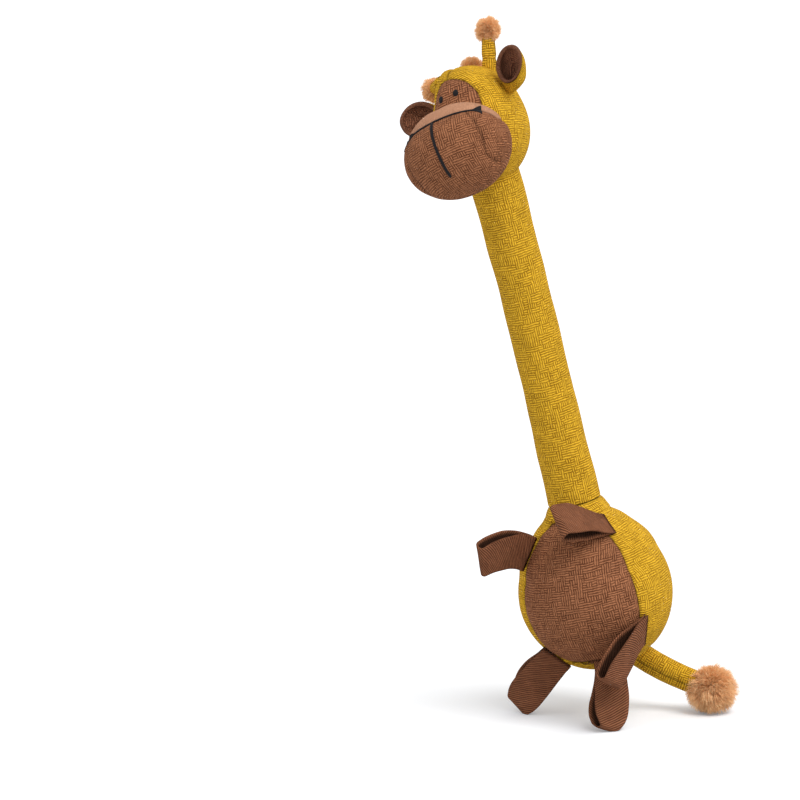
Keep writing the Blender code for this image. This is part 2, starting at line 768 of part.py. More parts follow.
def build_head(carrier, skull_tool):
    """Skull panels, face patch, the stuffing with its neck cup, and all that sits on the skull."""
    hollow = cutter(skull("skull_hollow", -COVER_THICKNESS))
    neck_end = neck_frame(NECK_LAST_PIVOT)
    hole_radius = NECK_CORE_RADIUS + NECK_JOINT_GAP
    neck_hole = drum(
        "neck_hole_tool",
        hole_radius,
        hole_radius,
        -NECK_CORE_RADIUS,
        NECK_CORE_RADIUS,
        neck_end,
        NECK_TUBE_SEGMENTS,
    )
    ahead = HEAD_FRAME @ Matrix.Translation(Vector((0, 0, PATCH_HEIGHT))) @ frame(
        (0, 0, 0), (0, -1, 0), (0, 0, -1)
    )
    depth = SKULL_HALF_DEPTH + CUT_OVERRUN
    tools = {}
    for label, growth in (("patch_tool", -SEAM_GAP / 2), ("patch_gap_tool", SEAM_GAP / 2)):
        tools[label] = drum(
            label,
            PATCH_HALF_WIDTH + growth,
            PATCH_HALF_HEIGHT + growth,
            0.0,
            depth,
            ahead,
            PATCH_SEGMENTS,
        )
    filling = skull("head_stuffing", -COVER_THICKNESS - SEAM_GAP, "stuffing", HEAD_PIVOT)
    cup_tool = cutter(
        turned(
            "head_cup_tool",
            [
                *arc(hole_radius, math.pi / 2, 0.0, NECK_DOME_ARCS),
                (hole_radius, -NECK_CORE_RADIUS),
                (0.0, -NECK_CORE_RADIUS),
            ],
            NECK_CORE_SEGMENTS,
            neck_end,
        )
    )
    cut(filling, cup_tool)
    carry(filling, carrier)

    reach = 2 * SKULL_HALF_HEIGHT
    half = SEAM_GAP / 2
    for side, sign in (("left", 1), ("right", -1)):
        inner, outer = sorted((half * sign, reach * sign))
        half_tool = box(
            f"head_{side}_tool", (inner, -reach, -reach), (outer, reach, reach), HEAD_FRAME
        )
        panel = skull(f"head_panel_{side}", 0.0, "mustard_cloth", HEAD_PIVOT)
        surface = facets(panel)
        keep(panel, half_tool)
        cut(panel, tools["patch_gap_tool"], hollow, neck_hole)
        carry(panel, filling)
    patch = skull("face_patch", 0.0, "brown_cloth", HEAD_PIVOT)
    keep(patch, tools["patch_tool"])
    cut(patch, hollow)
    carry(patch, filling)
    build_eyes(filling)
    build_muzzle(filling, skull_tool)
    build_ears(filling, surface)
    build_horns(filling, skull_tool, surface)


def build_eyes(carrier):
    """Two oval embroidered eyes, domed, lying on the face patch."""
    for side, sign in (("left", 1), ("right", -1)):
        across = sign * EYE_SPREAD / SKULL_HALF_WIDTH
        height = EYE_HEIGHT / SKULL_HALF_HEIGHT
        ahead = math.sqrt(1 - across**2 - height**2)
        spot, outward = skull_surface((across, -ahead, height))
        head_up = HEAD_TURN @ UP
        placement = frame(spot + outward * SEAM_GAP, outward, head_up)
        oval = placement @ Matrix.Diagonal((EYE_HALF_WIDTH, EYE_HALF_HEIGHT, STITCH_THICKNESS, 1.0))
        eye = turned(f"eye_{side}", [*EYE_DOME_SHARES, (0.0, 0.0)], EYE_SEGMENTS, oval, "black_thread")
        carry(eye, carrier)


def muzzle_spot(across, ahead, height, lift):
    """A world point a lift above the muzzle, and its outward direction, from unit-ball parts."""
    unit = Vector((across, -ahead, height)).normalized()
    spot = Vector([part * size for part, size in zip(unit, MUZZLE_SIZES)])
    slope = Vector([part / size for part, size in zip(unit, MUZZLE_SIZES)]).normalized()
    return MUZZLE_FRAME @ (spot + slope * lift), (HEAD_TURN @ slope).normalized()


def ribbon(name, spots, finish, origin=None):
    """A flat raised stitch line through spots of (point, outward direction, width)."""
    points = []
    for number, (point, outward, width) in enumerate(spots):
        before = spots[max(number - 1, 0)][0]
        after = spots[min(number + 1, len(spots) - 1)][0]
        side = square_to((after - before).cross(outward), outward) * width / 2
        lift = outward * STITCH_THICKNESS
        points += [point - side, point + side, point + side + lift, point - side + lift]
    faces = [(0, 1, 2, 3)]
    for number in range(len(spots) - 1):
        first = 4 * number
        for corner in range(4):
            after = (corner + 1) % 4
            faces.append((first + corner, first + after, first + 4 + after, first + 4 + corner))
    last = 4 * (len(spots) - 1)
    faces.append((last, last + 1, last + 2, last + 3))
    return solid(name, points, faces, finish, origin)


def build_muzzle(carrier, skull_tool):
    """Woven muzzle panel, smooth bridge above the nose seam, stuffing, nose and mouth stitches."""
    hollow = cutter(
        ellipsoid(
            "muzzle_hollow",
            grown(MUZZLE_SIZES, -COVER_THICKNESS),
            MUZZLE_FRAME,
            MUZZLE_SEGMENTS,
            MUZZLE_ARCS,
        )
    )
    reach = 2 * MUZZLE_HALF_WIDTH
    seam = MUZZLE_HALF_HEIGHT * NOSE_SEAM_SHARE
    half = SEAM_GAP / 2
    halves = {
        "muzzle_panel": ((-reach, -reach, -reach), (reach, reach, seam - half)),
        "muzzle_bridge": ((-reach, -reach, seam + half), (reach, reach, reach)),
    }
    for name, (low, high) in halves.items():
        tool = box(f"{name}_tool", low, high, MUZZLE_FRAME)
        panel = ellipsoid(
            name, MUZZLE_SIZES, MUZZLE_FRAME, MUZZLE_SEGMENTS, MUZZLE_ARCS, "brown_cloth"
        )
        keep(panel, tool)
        cut(panel, hollow, skull_tool)
        carry(panel, carrier)
    filling = ellipsoid(
        "muzzle_stuffing",
        grown(MUZZLE_SIZES, -COVER_THICKNESS - SEAM_GAP),
        MUZZLE_FRAME,
        MUZZLE_SEGMENTS // 2,
        MUZZLE_ARCS // 2,
        "stuffing",
    )
    cut(filling, skull_tool)
    carry(filling, carrier)
    build_stitches(carrier)


def build_stitches(carrier):
    """The mouth line down the middle and the nose line along its seam, with a corner at each end."""
    spots = []
    for number in range(STITCH_STEPS + 1):
        angle = MOUTH_HIGH_ANGLE + (MOUTH_LOW_ANGLE - MOUTH_HIGH_ANGLE) * number / STITCH_STEPS
        spot, outward = muzzle_spot(0.0, math.cos(angle), math.sin(angle), SEAM_GAP)
        spots.append((spot, outward, MOUTH_STITCH_WIDTH))
    carry(ribbon("mouth_stitch", spots, "black_thread"), carrier)

    level = math.sqrt(1 - NOSE_SEAM_SHARE**2)
    line = [-NOSE_STITCH_HALF_ANGLE + 2 * NOSE_STITCH_HALF_ANGLE * number / (2 * STITCH_STEPS)
            for number in range(2 * STITCH_STEPS + 1)]
    corner_angle = NOSE_CORNER_LENGTH / (level * MUZZLE_HALF_WIDTH)
    line = [-NOSE_STITCH_HALF_ANGLE - corner_angle, *line, NOSE_STITCH_HALF_ANGLE + corner_angle]
    spots = []
    for number, angle in enumerate(line):
        across = level * math.sin(angle)
        ahead = level * math.cos(angle)
        width = NOSE_STITCH_WIDTH
        if number in (0, len(line) - 1):
            width = NOSE_CORNER_WIDTH
        spot, outward = muzzle_spot(across, ahead, NOSE_SEAM_SHARE, SEAM_GAP)
        spots.append((spot, outward, width))
    carry(ribbon("nose_stitch", spots, "black_thread"), carrier)


def ear_grid(side, low, thick):
    """Points of a cupped ear leaf from its pivot, in two layers, rolled tighter at its root."""
    axis = HEAD_TURN @ Vector(EAR_AXIS[side])
    turn = frame((0, 0, 0), axis, HEAD_TURN @ Vector(EAR_FACING[side]))
    rows = len(EAR_WIDTH_SHARES)
    layers = []
    points = []
    for level in (low, low + thick):
        grid = []
        for row, share in enumerate(EAR_WIDTH_SHARES):
            run = row / (rows - 1)
            half = EAR_ROOT_WIDTH / 2 + (EAR_WIDTH - EAR_ROOT_WIDTH) / 2 * share
            curl = EAR_CURL_ROOT + (EAR_CURL_TIP - EAR_CURL_ROOT) * run
            radius = 2 * half / curl
            line = []
            for column in range(EAR_COLUMNS + 1):
                angle = curl * (column / EAR_COLUMNS - 0.5)
                corner = EAR_CORNER_SHARE * (2 * column / EAR_COLUMNS - 1) ** 2
                height = EAR_LENGTH * run * (1 - corner)
                x = (radius + level) * math.sin(angle)
                y = radius - (radius + level) * math.cos(angle)
                line.append(len(points))
                points.append(turn @ Vector((x, -y, height)))
            grid.append(line)
        layers.append(grid)
    return points, layers


def sheet_faces(layers):
    """The faces of a closed sheet between two equal grids of points."""
    faces = []
    for grid in layers:
        for line, following in zip(grid, grid[1:]):
            for number in range(len(line) - 1):
                faces.append(
                    (line[number], line[number + 1], following[number + 1], following[number])
                )
    first, second = layers
    rims = [(first[0], second[0]), (first[-1], second[-1])]
    rims.append(([line[0] for line in first], [line[0] for line in second]))
    rims.append(([line[-1] for line in first], [line[-1] for line in second]))
    for one, other in rims:
        for number in range(len(one) - 1):
            faces.append((one[number], one[number + 1], other[number + 1], other[number]))
    return faces


def build_ears(carrier, surface):
    """Each ear: a mustard back and a brown lining in its cup."""
    for side in ("left", "right"):
        spot, outward = skull_surface(EAR_PLACE_SHARES[side])
        back_spots, back_layers = ear_grid(side, 0.0, COVER_THICKNESS)
        lining_low = -EAR_LINING_THICKNESS - SEAM_GAP
        lining_spots, lining_layers = ear_grid(side, lining_low, EAR_LINING_THICKNESS)
        pivot = seated(spot, outward, [*back_spots, *lining_spots], surface)
        back = solid(
            f"ear_{side}_back",
            [pivot + spot for spot in back_spots],
            sheet_faces(back_layers),
            "mustard_cloth",
            pivot,
        )
        lining = solid(
            f"ear_{side}_lining",
            [pivot + spot for spot in lining_spots],
            sheet_faces(lining_layers),
            "brown_cloth",
            pivot,
        )
        carry(back, carrier)
        carry(lining, back)


def pompom(name, centre, up, radius):
    """A closed ball of fur."""
    ball = frame(centre, up, square_to(FRONT, up))
    sizes = Vector((radius, radius, radius))
    return ellipsoid(name, sizes, ball, POMPOM_SEGMENTS, POMPOM_ARCS, "peach_fur")


def build_horns(carrier, skull_tool, surface):
    """Two stuffed horns that tilt on their round roots, and a third pompom on the crown."""
    for side in ("left", "right"):
        spot, outward = skull_surface(HORN_PLACE_SHARES[side])
        axis = (HEAD_TURN @ Vector(HORN_AXIS[side])).normalized()
        root = arc(HORN_ROOT_RADIUS, -math.pi / 2, 0.0, HORN_ROOT_ARCS)
        turn = frame((0, 0, 0), axis, square_to(FRONT, axis))
        root_spots, _ = turned_rings(root, HORN_SEGMENTS, turn)
        pivot = seated(spot, outward, root_spots, surface)
        placement = frame(pivot, axis, square_to(FRONT, axis))
        tip = [(HORN_TIP_RADIUS, HORN_LENGTH), (0.0, HORN_LENGTH)]
        horn = turned(
            f"horn_{side}", [*root, *tip], HORN_SEGMENTS, placement, "mustard_cloth", pivot
        )
        carry(horn, carrier)
        centre = pivot + axis * (HORN_LENGTH - HORN_SINK + HORN_POMPOM_RADIUS)
        ball = pompom(f"horn_pompom_{side}", centre, axis, HORN_POMPOM_RADIUS)
        seat_radius = HORN_TIP_RADIUS + SEAM_GAP + (HORN_ROOT_RADIUS - HORN_TIP_RADIUS)
        seat = drum(
            f"horn_seat_{side}",
            seat_radius,
            seat_radius,
            0.0,
            HORN_LENGTH + SEAM_GAP,
            placement,
            HORN_SEGMENTS,
        )
        cut(ball, seat)
        carry(ball, horn)
    spot, outward = skull_surface(CROWN_PLACE_SHARES)
    centre = spot + outward * (CROWN_POMPOM_RADIUS - CROWN_POMPOM_SINK)
    crown = pompom("crown_pompom", centre, outward, CROWN_POMPOM_RADIUS)
    cut(crown, skull_tool)
    carry(crown, carrier)


def body_surface(turn_degrees, latitude_degrees):
    """A world point on the body, its outward direction, and the lines upward and level there."""
    turn = math.radians(turn_degrees)
    (radius, height), (rise_out, rise_up) = outline_at(math.radians(latitude_degrees))
    flat = Vector((math.sin(turn), -math.cos(turn), 0.0))
    level = Vector((math.cos(turn), math.sin(turn), 0.0))
    upward = (flat * rise_out + UP * rise_up).normalized()
    outward = flat * upward.z - UP * flat.dot(upward)
    turn_matrix = BODY_FRAME.to_3x3()
    place = BODY_FRAME @ (flat * radius + UP * height)
    lines = {"upward": turn_matrix @ upward, "level": turn_matrix @ level}
    return place, turn_matrix @ outward, lines


def outline_at(latitude):
    """The middle of a strap's root line against the body's outline at a latitude, and its rise."""
    line = [Vector(spot) for spot in body_outline(0.0)]
    lengths = [0.0]
    for one, other in zip(line, line[1:]):
        lengths.append(lengths[-1] + (other - one).length)

    def at(length):
        for number, (one, other) in enumerate(zip(line, line[1:])):
            if length <= lengths[number + 1]:
                share = (length - lengths[number]) / (other - one).length
                return one.lerp(other, share)
        return line[-1]

    middle = 0.0
    for number, (one, other) in enumerate(zip(line, line[1:])):
        first = math.atan2(one.y, one.x)
        second = math.atan2(other.y, other.x)
        if second <= latitude < first:
            share = (first - latitude) / (first - second)
            middle = lengths[number] + share * (other - one).length
    half = STRAP_WIDTH / 2
    upper = at(middle - half)
    lower = at(middle + half)
    rise = (upper - lower).normalized()
    outward = Vector((rise.y, -rise.x))
    push = max(
        (at(middle + half * (2 * step / OUTLINE_STEPS - 1)) - lower).dot(outward)
        for step in range(OUTLINE_STEPS + 1)
    )
    spot = (upper + lower) / 2 + outward * push
    return tuple(spot), tuple(rise)


def strap_outline():
    """The side view of a folded tape as matching outer and slit points, (along, across)."""
    fold = TAPE_THICKNESS + STRAP_OPENING
    fold_centre = STRAP_LENGTH - fold
    slit_start = STRAP_LENGTH * STRAP_INNER_SHARES[0] / 2
    outer = []
    inner = []
    for outer_share, inner_share in zip(STRAP_OUTER_SHARES, STRAP_INNER_SHARES):
        outer.append((fold_centre * outer_share, TAPE_THICKNESS + STRAP_OPENING * swell(outer_share)))
        inner.append((fold_centre * inner_share, STRAP_OPENING * swell(inner_share)))
    for share in reversed(STRAP_FOLD_SHARES):
        angle = math.pi / 2 * share
        outer.append((fold_centre + fold * math.cos(angle), fold * math.sin(angle)))
        inner.append(
            (fold_centre + STRAP_OPENING * math.cos(angle), STRAP_OPENING * math.sin(angle))
        )
    outer_loop = [(-TAPE_THICKNESS, 0.0), *outer, *[(s, -a) for s, a in reversed(outer)]]
    inner_loop = [(slit_start, 0.0), *inner, *[(s, -a) for s, a in reversed(inner)]]
    return outer_loop, inner_loop


def swell(share):
    """How far a strap's two layers have opened at a share of its length."""
    return math.sin(math.pi / 2 * min(1.0, share / STRAP_OPEN_SHARE)) ** 2


def strap_points(name, droop):
    """World points of a strap's four edge loops, its hinge place and its hinge line."""
    spec = STRAPS[name]
    place, outward, seam_lines = body_surface(*spec["seam"])
    root_width = seam_lines[spec["sewn_along"]]
    pivot = place + outward * (TAPE_THICKNESS + SEAM_GAP)
    root_heading = square_to(Vector(spec["root_heading"]), root_width)
    tip_heading = Vector(spec["tip_heading"]).normalized()
    tip_width = Vector(spec["tip_width"]).normalized()
    if root_width.dot(tip_width) < 0:
        tip_width = -tip_width
    turn = Matrix.Rotation(droop, 3, root_width)
    outer_loop, inner_loop = strap_outline()
    points = []
    for loop in (outer_loop, inner_loop):
        for sign in (1, -1):
            for along, across in loop:
                share = max(0.0, along) / STRAP_LENGTH
                heading = slide(root_heading, tip_heading, share)
                width_line = square_to(slide(root_width, tip_width, share), heading)
                thick_line = heading.cross(width_line)
                centre = strap_centre(root_heading, tip_heading, along)
                half_width = STRAP_WIDTH / 2 * strap_width_share(share, spec["tip_width_share"])
                edge = width_line * (sign * half_width)
                points.append(pivot + turn @ (centre + edge + thick_line * across))
    return points, pivot, root_width, len(outer_loop)


def strap_width_share(share, tip_share):
    """The strap's width at a share of its length, narrowing in a round end."""
    into_end = max(0.0, share - STRAP_ROUND_SHARE) / (1 - STRAP_ROUND_SHARE)
    return tip_share + (1 - tip_share) * math.sqrt(max(0.0, 1 - into_end**2))


def strap_centre(root_heading, tip_heading, along):
    """The strap's middle line, from its root, at a distance along it."""
    if along <= 0:
        return root_heading * along
    centre = Vector((0, 0, 0))
    step = along / STRAP_SLICES
    for number in range(STRAP_SLICES):
        share = (number + 0.5) * step / STRAP_LENGTH
        centre += slide(root_heading, tip_heading, share) * step
    return centre


def settle(lowest_of):
    """The droop angle at which a limb's lowest point lies the floor cut below the floor."""
    low, high = -DROOP_LIMIT, DROOP_LIMIT
    rising = lowest_of(high) > lowest_of(low)
    for _ in range(DROOP_STEPS):
        middle = (low + high) / 2
        above = lowest_of(middle) > -FLOOR_CUT
        if above == rising:
            high = middle
        else:
            low = middle
    return (low + high) / 2


def build_straps(carrier, floor_tool):
    """Arms and legs: tape folded into flat loops, sewn along the belly seams by their roots."""
    for name in STRAPS:
        droop = 0.0
        if name in FLOOR_LEGS:
            droop = settle(lambda angle, limb=name: min(p.z for p in strap_points(limb, angle)[0]))
        points, pivot, _, count = strap_points(name, droop)
        outer_left, outer_right, slit_left, slit_right = [
            list(range(count * number, count * (number + 1))) for number in range(4)
        ]
        faces = ring_faces(outer_left, outer_right)
        faces += ring_faces(slit_left, slit_right)
        faces += ring_faces(outer_left, slit_left)
        faces += ring_faces(outer_right, slit_right)
        strap = solid(name, points, faces, "twill_tape", pivot)
        if name in FLOOR_LEGS:
            cut(strap, floor_tool)
        carry(strap, carrier)


def tail_path(droop):
    """The tail's stations of (centre, heading), bent down at its tip by the droop."""
    outward = Vector(TAIL_ROOT_DIRECTION).normalized()
    place = BODY_CENTRE + outward * (BODY_RADIUS - TAIL_START_SINK)
    root = Vector(TAIL_ROOT_HEADING).normalized()
    side = root.cross(UP).normalized()
    turn = Matrix.Rotation(droop, 3, side)
    tip = turn @ Vector(TAIL_TIP_HEADING).normalized()
    root = turn @ root
    stations = []
    step = TAIL_LENGTH / TAIL_STEPS
    for number in range(TAIL_STEPS + 1):
        heading = slide(root, tip, number / TAIL_STEPS)
        stations.append((place.copy(), heading))
        place = place + slide(root, tip, (number + 0.5) / TAIL_STEPS) * step
    return stations


def tail_pompom_centre(droop):
    """The middle of the pompom on the tail's tip."""
    place, heading = tail_path(droop)[-1]
    return place + heading * (TAIL_POMPOM_RADIUS - TAIL_POMPOM_SINK)


def build_tail(carrier, floor_tool):
    """The stuffed tail, trimmed to the body's ball, and the pompom that it rests on."""
    droop = settle(lambda angle: tail_pompom_centre(angle).z - TAIL_POMPOM_RADIUS)
    path = tail_path(droop)
    outward = Vector(TAIL_ROOT_DIRECTION).normalized()
    pivot = BODY_CENTRE + outward * BODY_RADIUS
    trim_radius = (BODY_RADIUS + TAIL_JOINT_GAP) / math.cos(math.pi / 2 / TRIM_ARCS)
    body_tool = cutter(
        turned(
            "tail_trim_tool",
            arc(trim_radius, math.pi / 2, -math.pi / 2, TRIM_ARCS),
            BODY_SEGMENTS,
            frame(BODY_CENTRE, outward, FRONT),
        )
    )
    core = []
    skin = []
    for number, (place, heading) in enumerate(path):
        share = number / TAIL_STEPS
        radius = TAIL_RADIUS + (TAIL_TIP_RADIUS - TAIL_RADIUS) * share
        skin.append((place, heading, radius, radius - COVER_THICKNESS))
        core.append((place, heading, radius - COVER_THICKNESS - SEAM_GAP, 0.0))
    filling = sweep("tail_stuffing", core, TAIL_SEGMENTS, "stuffing", pivot)
    cover = sweep("tail_cover", skin, TAIL_SEGMENTS, "mustard_cloth", pivot)
    cut(filling, body_tool)
    cut(cover, body_tool)
    centre = tail_pompom_centre(droop)
    ball = pompom("tail_pompom", centre, UP, TAIL_POMPOM_RADIUS)
    place, heading = path[-1]
    seat = drum(
        "tail_seat",
        TAIL_RADIUS + SEAM_GAP,
        TAIL_RADIUS + SEAM_GAP,
        -TAIL_POMPOM_RADIUS,
        SEAM_GAP,
        frame(place, heading, FRONT),
        TAIL_SEGMENTS,
    )
    cut(ball, seat, floor_tool)
    carry(cover, carrier)
    carry(filling, cover)
    carry(ball, cover)


def main():
    """Builds the whole toy."""
    for old in list(bpy.data.objects):
        bpy.data.objects.remove(old)
    reach = BODY_HEIGHT
    floor_tool = box("floor_tool", (-2 * reach, -2 * reach, -reach), (2 * reach, 2 * reach, 0.0), Matrix())
    body = build_body()
    neck_end, skull_tool = build_neck(body)
    build_head(neck_end, skull_tool)
    build_straps(body, floor_tool)
    build_tail(body, floor_tool)


main()
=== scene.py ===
"""A plush giraffe with a long neck: its cloth, tape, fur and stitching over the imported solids."""

import json
import math
from contextlib import contextmanager
from functools import reduce
from operator import add

import bmesh
import bpy
import numpy as np
from mathutils import Euler, Matrix, Vector, noise
from mathutils.bvhtree import BVHTree
from mathutils.kdtree import KDTree


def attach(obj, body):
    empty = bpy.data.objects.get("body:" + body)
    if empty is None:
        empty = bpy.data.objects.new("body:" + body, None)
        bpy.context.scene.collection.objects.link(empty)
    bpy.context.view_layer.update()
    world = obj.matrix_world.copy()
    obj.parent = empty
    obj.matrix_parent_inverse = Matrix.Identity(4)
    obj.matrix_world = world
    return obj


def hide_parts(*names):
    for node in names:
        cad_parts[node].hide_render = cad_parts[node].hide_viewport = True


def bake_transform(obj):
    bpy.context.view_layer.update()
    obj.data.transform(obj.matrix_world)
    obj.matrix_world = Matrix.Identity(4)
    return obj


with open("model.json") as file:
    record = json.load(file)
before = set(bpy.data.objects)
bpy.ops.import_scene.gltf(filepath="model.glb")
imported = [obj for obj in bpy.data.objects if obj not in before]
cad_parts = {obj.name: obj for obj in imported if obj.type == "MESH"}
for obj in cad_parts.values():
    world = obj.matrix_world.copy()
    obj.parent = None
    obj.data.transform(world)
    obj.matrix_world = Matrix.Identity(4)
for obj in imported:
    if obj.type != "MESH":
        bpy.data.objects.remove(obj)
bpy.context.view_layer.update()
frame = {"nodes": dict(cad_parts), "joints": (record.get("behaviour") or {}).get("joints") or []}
# Vector noise starts from the clock unless it is given a number
NOISE_SEED = 7
noise.seed_set(NOISE_SEED)

# Picture: degrees round and above the toy, and the real size that one frame width shows
VIEW_AZIMUTH = math.radians(18)
VIEW_ELEVATION = math.radians(12)
FRAME_PIXELS = 800
METRES_PER_PIXEL = 0.0008
BODY_PIXEL = (595, 592)
LENS = 1200.0
SENSOR = 36.0

# Surround, floor and lamp: strengths and colours, and the lamp's width and the direction it stands in
SURROUND_STRENGTH = 0.80
BACKGROUND_STRENGTH = 1.0
FLOOR_REACH = 6.0
FLOOR_GAP = 0.0002
FLOOR_COLOUR = (0.90, 0.90, 0.905, 1)
FLOOR_GLOW = 0.12
FLOOR_GLOW_COLOUR = (0.85, 1.0, 1.15, 1)
FLOOR_BOUNCE_COLOUR = (0.60, 0.60, 0.60, 1)
LAMP_STRENGTH = 1.75
LAMP_WIDTH = math.radians(40)
LAMP_DIRECTION = (0.56, -0.24, 0.92)

# Body: a ball with shoulders that rise to the neck seam
BODY_CENTRE = np.array((0.0259, 0.0308, 0.0997))
BODY_RADIUS = 0.0615
BODY_RIGHT_TRIM = 0.015
BODY_LOW_TRIM = 0.050
BODY_LEAN = math.radians(12.5)
LEAN_TURN = math.radians(18)
SHOULDER_LATITUDE = math.radians(22.7)
SHOULDER_SHARES = (
    (0.097, 0.147),
    (0.183, 0.251),
    (0.408, 0.373),
    (0.563, 0.492),
    (0.727, 0.612),
    (0.860, 0.731),
    (0.948, 0.867),
)
OUTLINE_SMOOTHING = 0.006
BELLY_HALF_ANGLE = math.radians(52)
BELLY_LOW_LATITUDE = math.radians(-51)
BELLY_TOP_HEIGHT = 0.067
BELLY_SQUARENESS = 5.0
BACK_MIDDLE_ANGLE = math.radians(116)

# Neck
NECK_SEAM_HEIGHT = 0.0775
NECK_RADIUS = 0.0214
NECK_LEAN_TOP = math.radians(15.1)
NECK_SWELL_SHARES = (1.0, 0.985, 0.965, 0.945, 0.935, 0.932, 0.935, 0.945, 0.965, 0.98, 0.99)
NECK_INTO_HEAD = 0.014
NECK_WAVE_DEPTH = 0.0009

# Head
HEAD_REACH = 0.3146
HEAD_TURN = np.array(Euler((math.radians(-17), math.radians(-28.5), math.radians(-5)), "XYZ").to_matrix())
SKULL_SIZES = np.array((0.0365, 0.042, 0.0465))
SKULL_TOP_SQUARENESS = 2.7
SKULL_TOP_SLOPE = 0.16
SKULL_TOP_RISE = 0.050
SKULL_TOP_POWER = 3
SKULL_RIGHT_TAPER = 0.40
SKULL_TAPER_POWER = 1.3
HEAD_MIDDLE_ANGLE = math.radians(100)
SKULL_LOW_SQUARENESS = 2.0
PATCH_SHIFT = -0.0013
PATCH_HALF_WIDTH = 0.0245
PATCH_HALF_HEIGHT = 0.027
PATCH_HEIGHT = 0.009
EYE_SPREAD = 0.0079
EYE_HEIGHT = 0.0213
EYE_HALF_WIDTH = 0.0023
EYE_HALF_HEIGHT = 0.0032
EYE_RISE = 0.0010

# Muzzle
MUZZLE_SIZES = np.array((0.0457, 0.0345, 0.037))
MUZZLE_FORWARD = 0.0534
MUZZLE_DROP = 0.028
NOSE_SEAM_LATITUDE = math.radians(38)
NOSE_SEAM_DROP = math.radians(22)
NOSE_SEAM_POWER = 4
NOSE_LINE_WIDTH = 0.0014
NOSE_LINE_HALF_ANGLE = math.radians(57)
NOSE_CORNER_ANGLE = math.radians(12)
NOSE_CORNER_HEIGHT = 0.0125
NOSE_CORNER_POWER = 1.2
MUZZLE_TRIM_DEPTH = 0.86
MUZZLE_SEAM_DEPTH = 0.0015
MOUTH_LINE_WIDTH = 0.0025
MOUTH_LOW_ANGLE = math.radians(-42)
MOUTH_HIGH_ANGLE = math.radians(37)
MOUTH_END_SHARE = 0.35
MOUTH_END_STEPS = 2.0
DART_TURNS = np.radians((47, 49, 52, 54, 64, 78))
DART_LATITUDES = np.radians((34, 17, -8, -30, -37, -42))
LINE_RISE = 0.0011
THREAD_SINK = 0.0007
THREAD_PITCH = 0.0012
THREAD_WAVE = 0.10
THREAD_ROUND_POWER = 0.6
THREAD_MAP_STEP = 0.0004
STITCH_LAY_REACH = 0.01
STITCH_SMOOTHING = 4

# Ears: cups shaped like an egg with a slanted opening
EAR_BACK_THICKNESS = 0.0016
EAR_LINING_THICKNESS = 0.0011
EAR_RIM_BULGE = 0.0004
EAR_BACK_RIM_ANGLE = 0.05
EAR_CREASE_DEPTH = 0.0035
EAR_CREASE_WIDTH = 0.0014
EAR_CREASE_SHARE = -0.20
EAR_CLOTH_RADIUS = 0.013
EAR_FIRST_ANGLE = 0.03
EAR_INNER_RINGS = 24
EAR_OUTER_RINGS = 16
EARS = {
    "left": {
        "axis": (0.596, -0.434, 0.676),
        "facing": (-0.355, -0.935, -0.017),
        "sizes": (0.0268, 0.0075, 0.0395),
        "opening_tilt": 0.708,
        "rim_angle": 1.97,
        "waist": 0.58,
        "sink": 0.0016,
    },
    "right": {
        "axis": (-0.738, -0.521, 0.30),
        "facing": (0.211, -0.975, 0.074),
        "sizes": (0.0268, 0.0090, 0.0400),
        "opening_tilt": 0.74,
        "rim_angle": 1.80,
        "waist": 0.55,
        "sink": 0.0050,
    },
}

# Horns and fur balls
HORN_ROOT_RADIUS = 0.0061
HORN_TIP_RADIUS = 0.0052
HORN_LENGTH = 0.0175
HORN_ROOT_SINK = 0.011
HORN_PINCH = 0.10
HORN_PINCH_WIDTH = 0.002
HORN_SEAM_DEPTH = 0.0005
HORN_LUMP_DEPTH = 0.0004
HORN_POMPOM_PLACE = 0.0125
HORN_AXIS = {"left": (0.36, -0.107, 0.93), "right": (-0.62, 0.76, 0.18)}
HORN_POMPOM_RADIUS = 0.0108
CROWN_POMPOM_RADIUS = 0.0098
CROWN_POMPOM_SINK = 0.0048
CROWN_PLACE_SHARES = (0.0, 0.38, 0.925)

# Fur: shares of the ball's radius, ranges of chance, and the strands' width in metres and its shares at
# points along them
FUR_CORE_SHARE = 0.62
FUR_GROUND_SHARE = 1.04
FUR_TIP_SHARE = 1.04
FUR_LIMIT_SHARE = 1.17
STRANDS_PER_CLUMP = 70
FUR_ROOT_CHANCE = 0.03
FUR_LEAN_CHANCE = 0.40
FUR_AIM_CHANCE = 0.16
FUR_WAVE_CHANCE = 0.05
FUR_CLUMP_REACHES = (0.68, 1.26)
FUR_STRAND_LENGTHS = (0.70, 1.12)
FUR_AIM_SHARES = (0.45, 0.50, 0.25)
FUR_BEND_SHARE = 0.55
FUR_DROOP = np.array((0.0, 0.0, -0.16))
FUR_WIDTH = 0.00014
FUR_WIDTH_CHANCE = 0.00009
FUR_TAPERS = (1.0, 0.95, 0.8, 0.55, 0.10)
FUR_FLOOR_GAP = 0.0002

# Tail
TAIL_RADIUS = 0.0105
TAIL_TIP_RADIUS = 0.0098
TAIL_LENGTH = 0.067
TAIL_SEAM_DEPTH = 0.0007
TAIL_POMPOM_RADIUS = 0.020
TAIL_POMPOM_SINK = 0.007
TAIL_ROOT_DIRECTION = (0.278, 0.496, -0.82)
TAIL_START_SINK = 0.005
TAIL_ROOT_HEADING = (0.79, 0.13, -0.60)
TAIL_TIP_HEADING = (0.96, 0.04, -0.27)

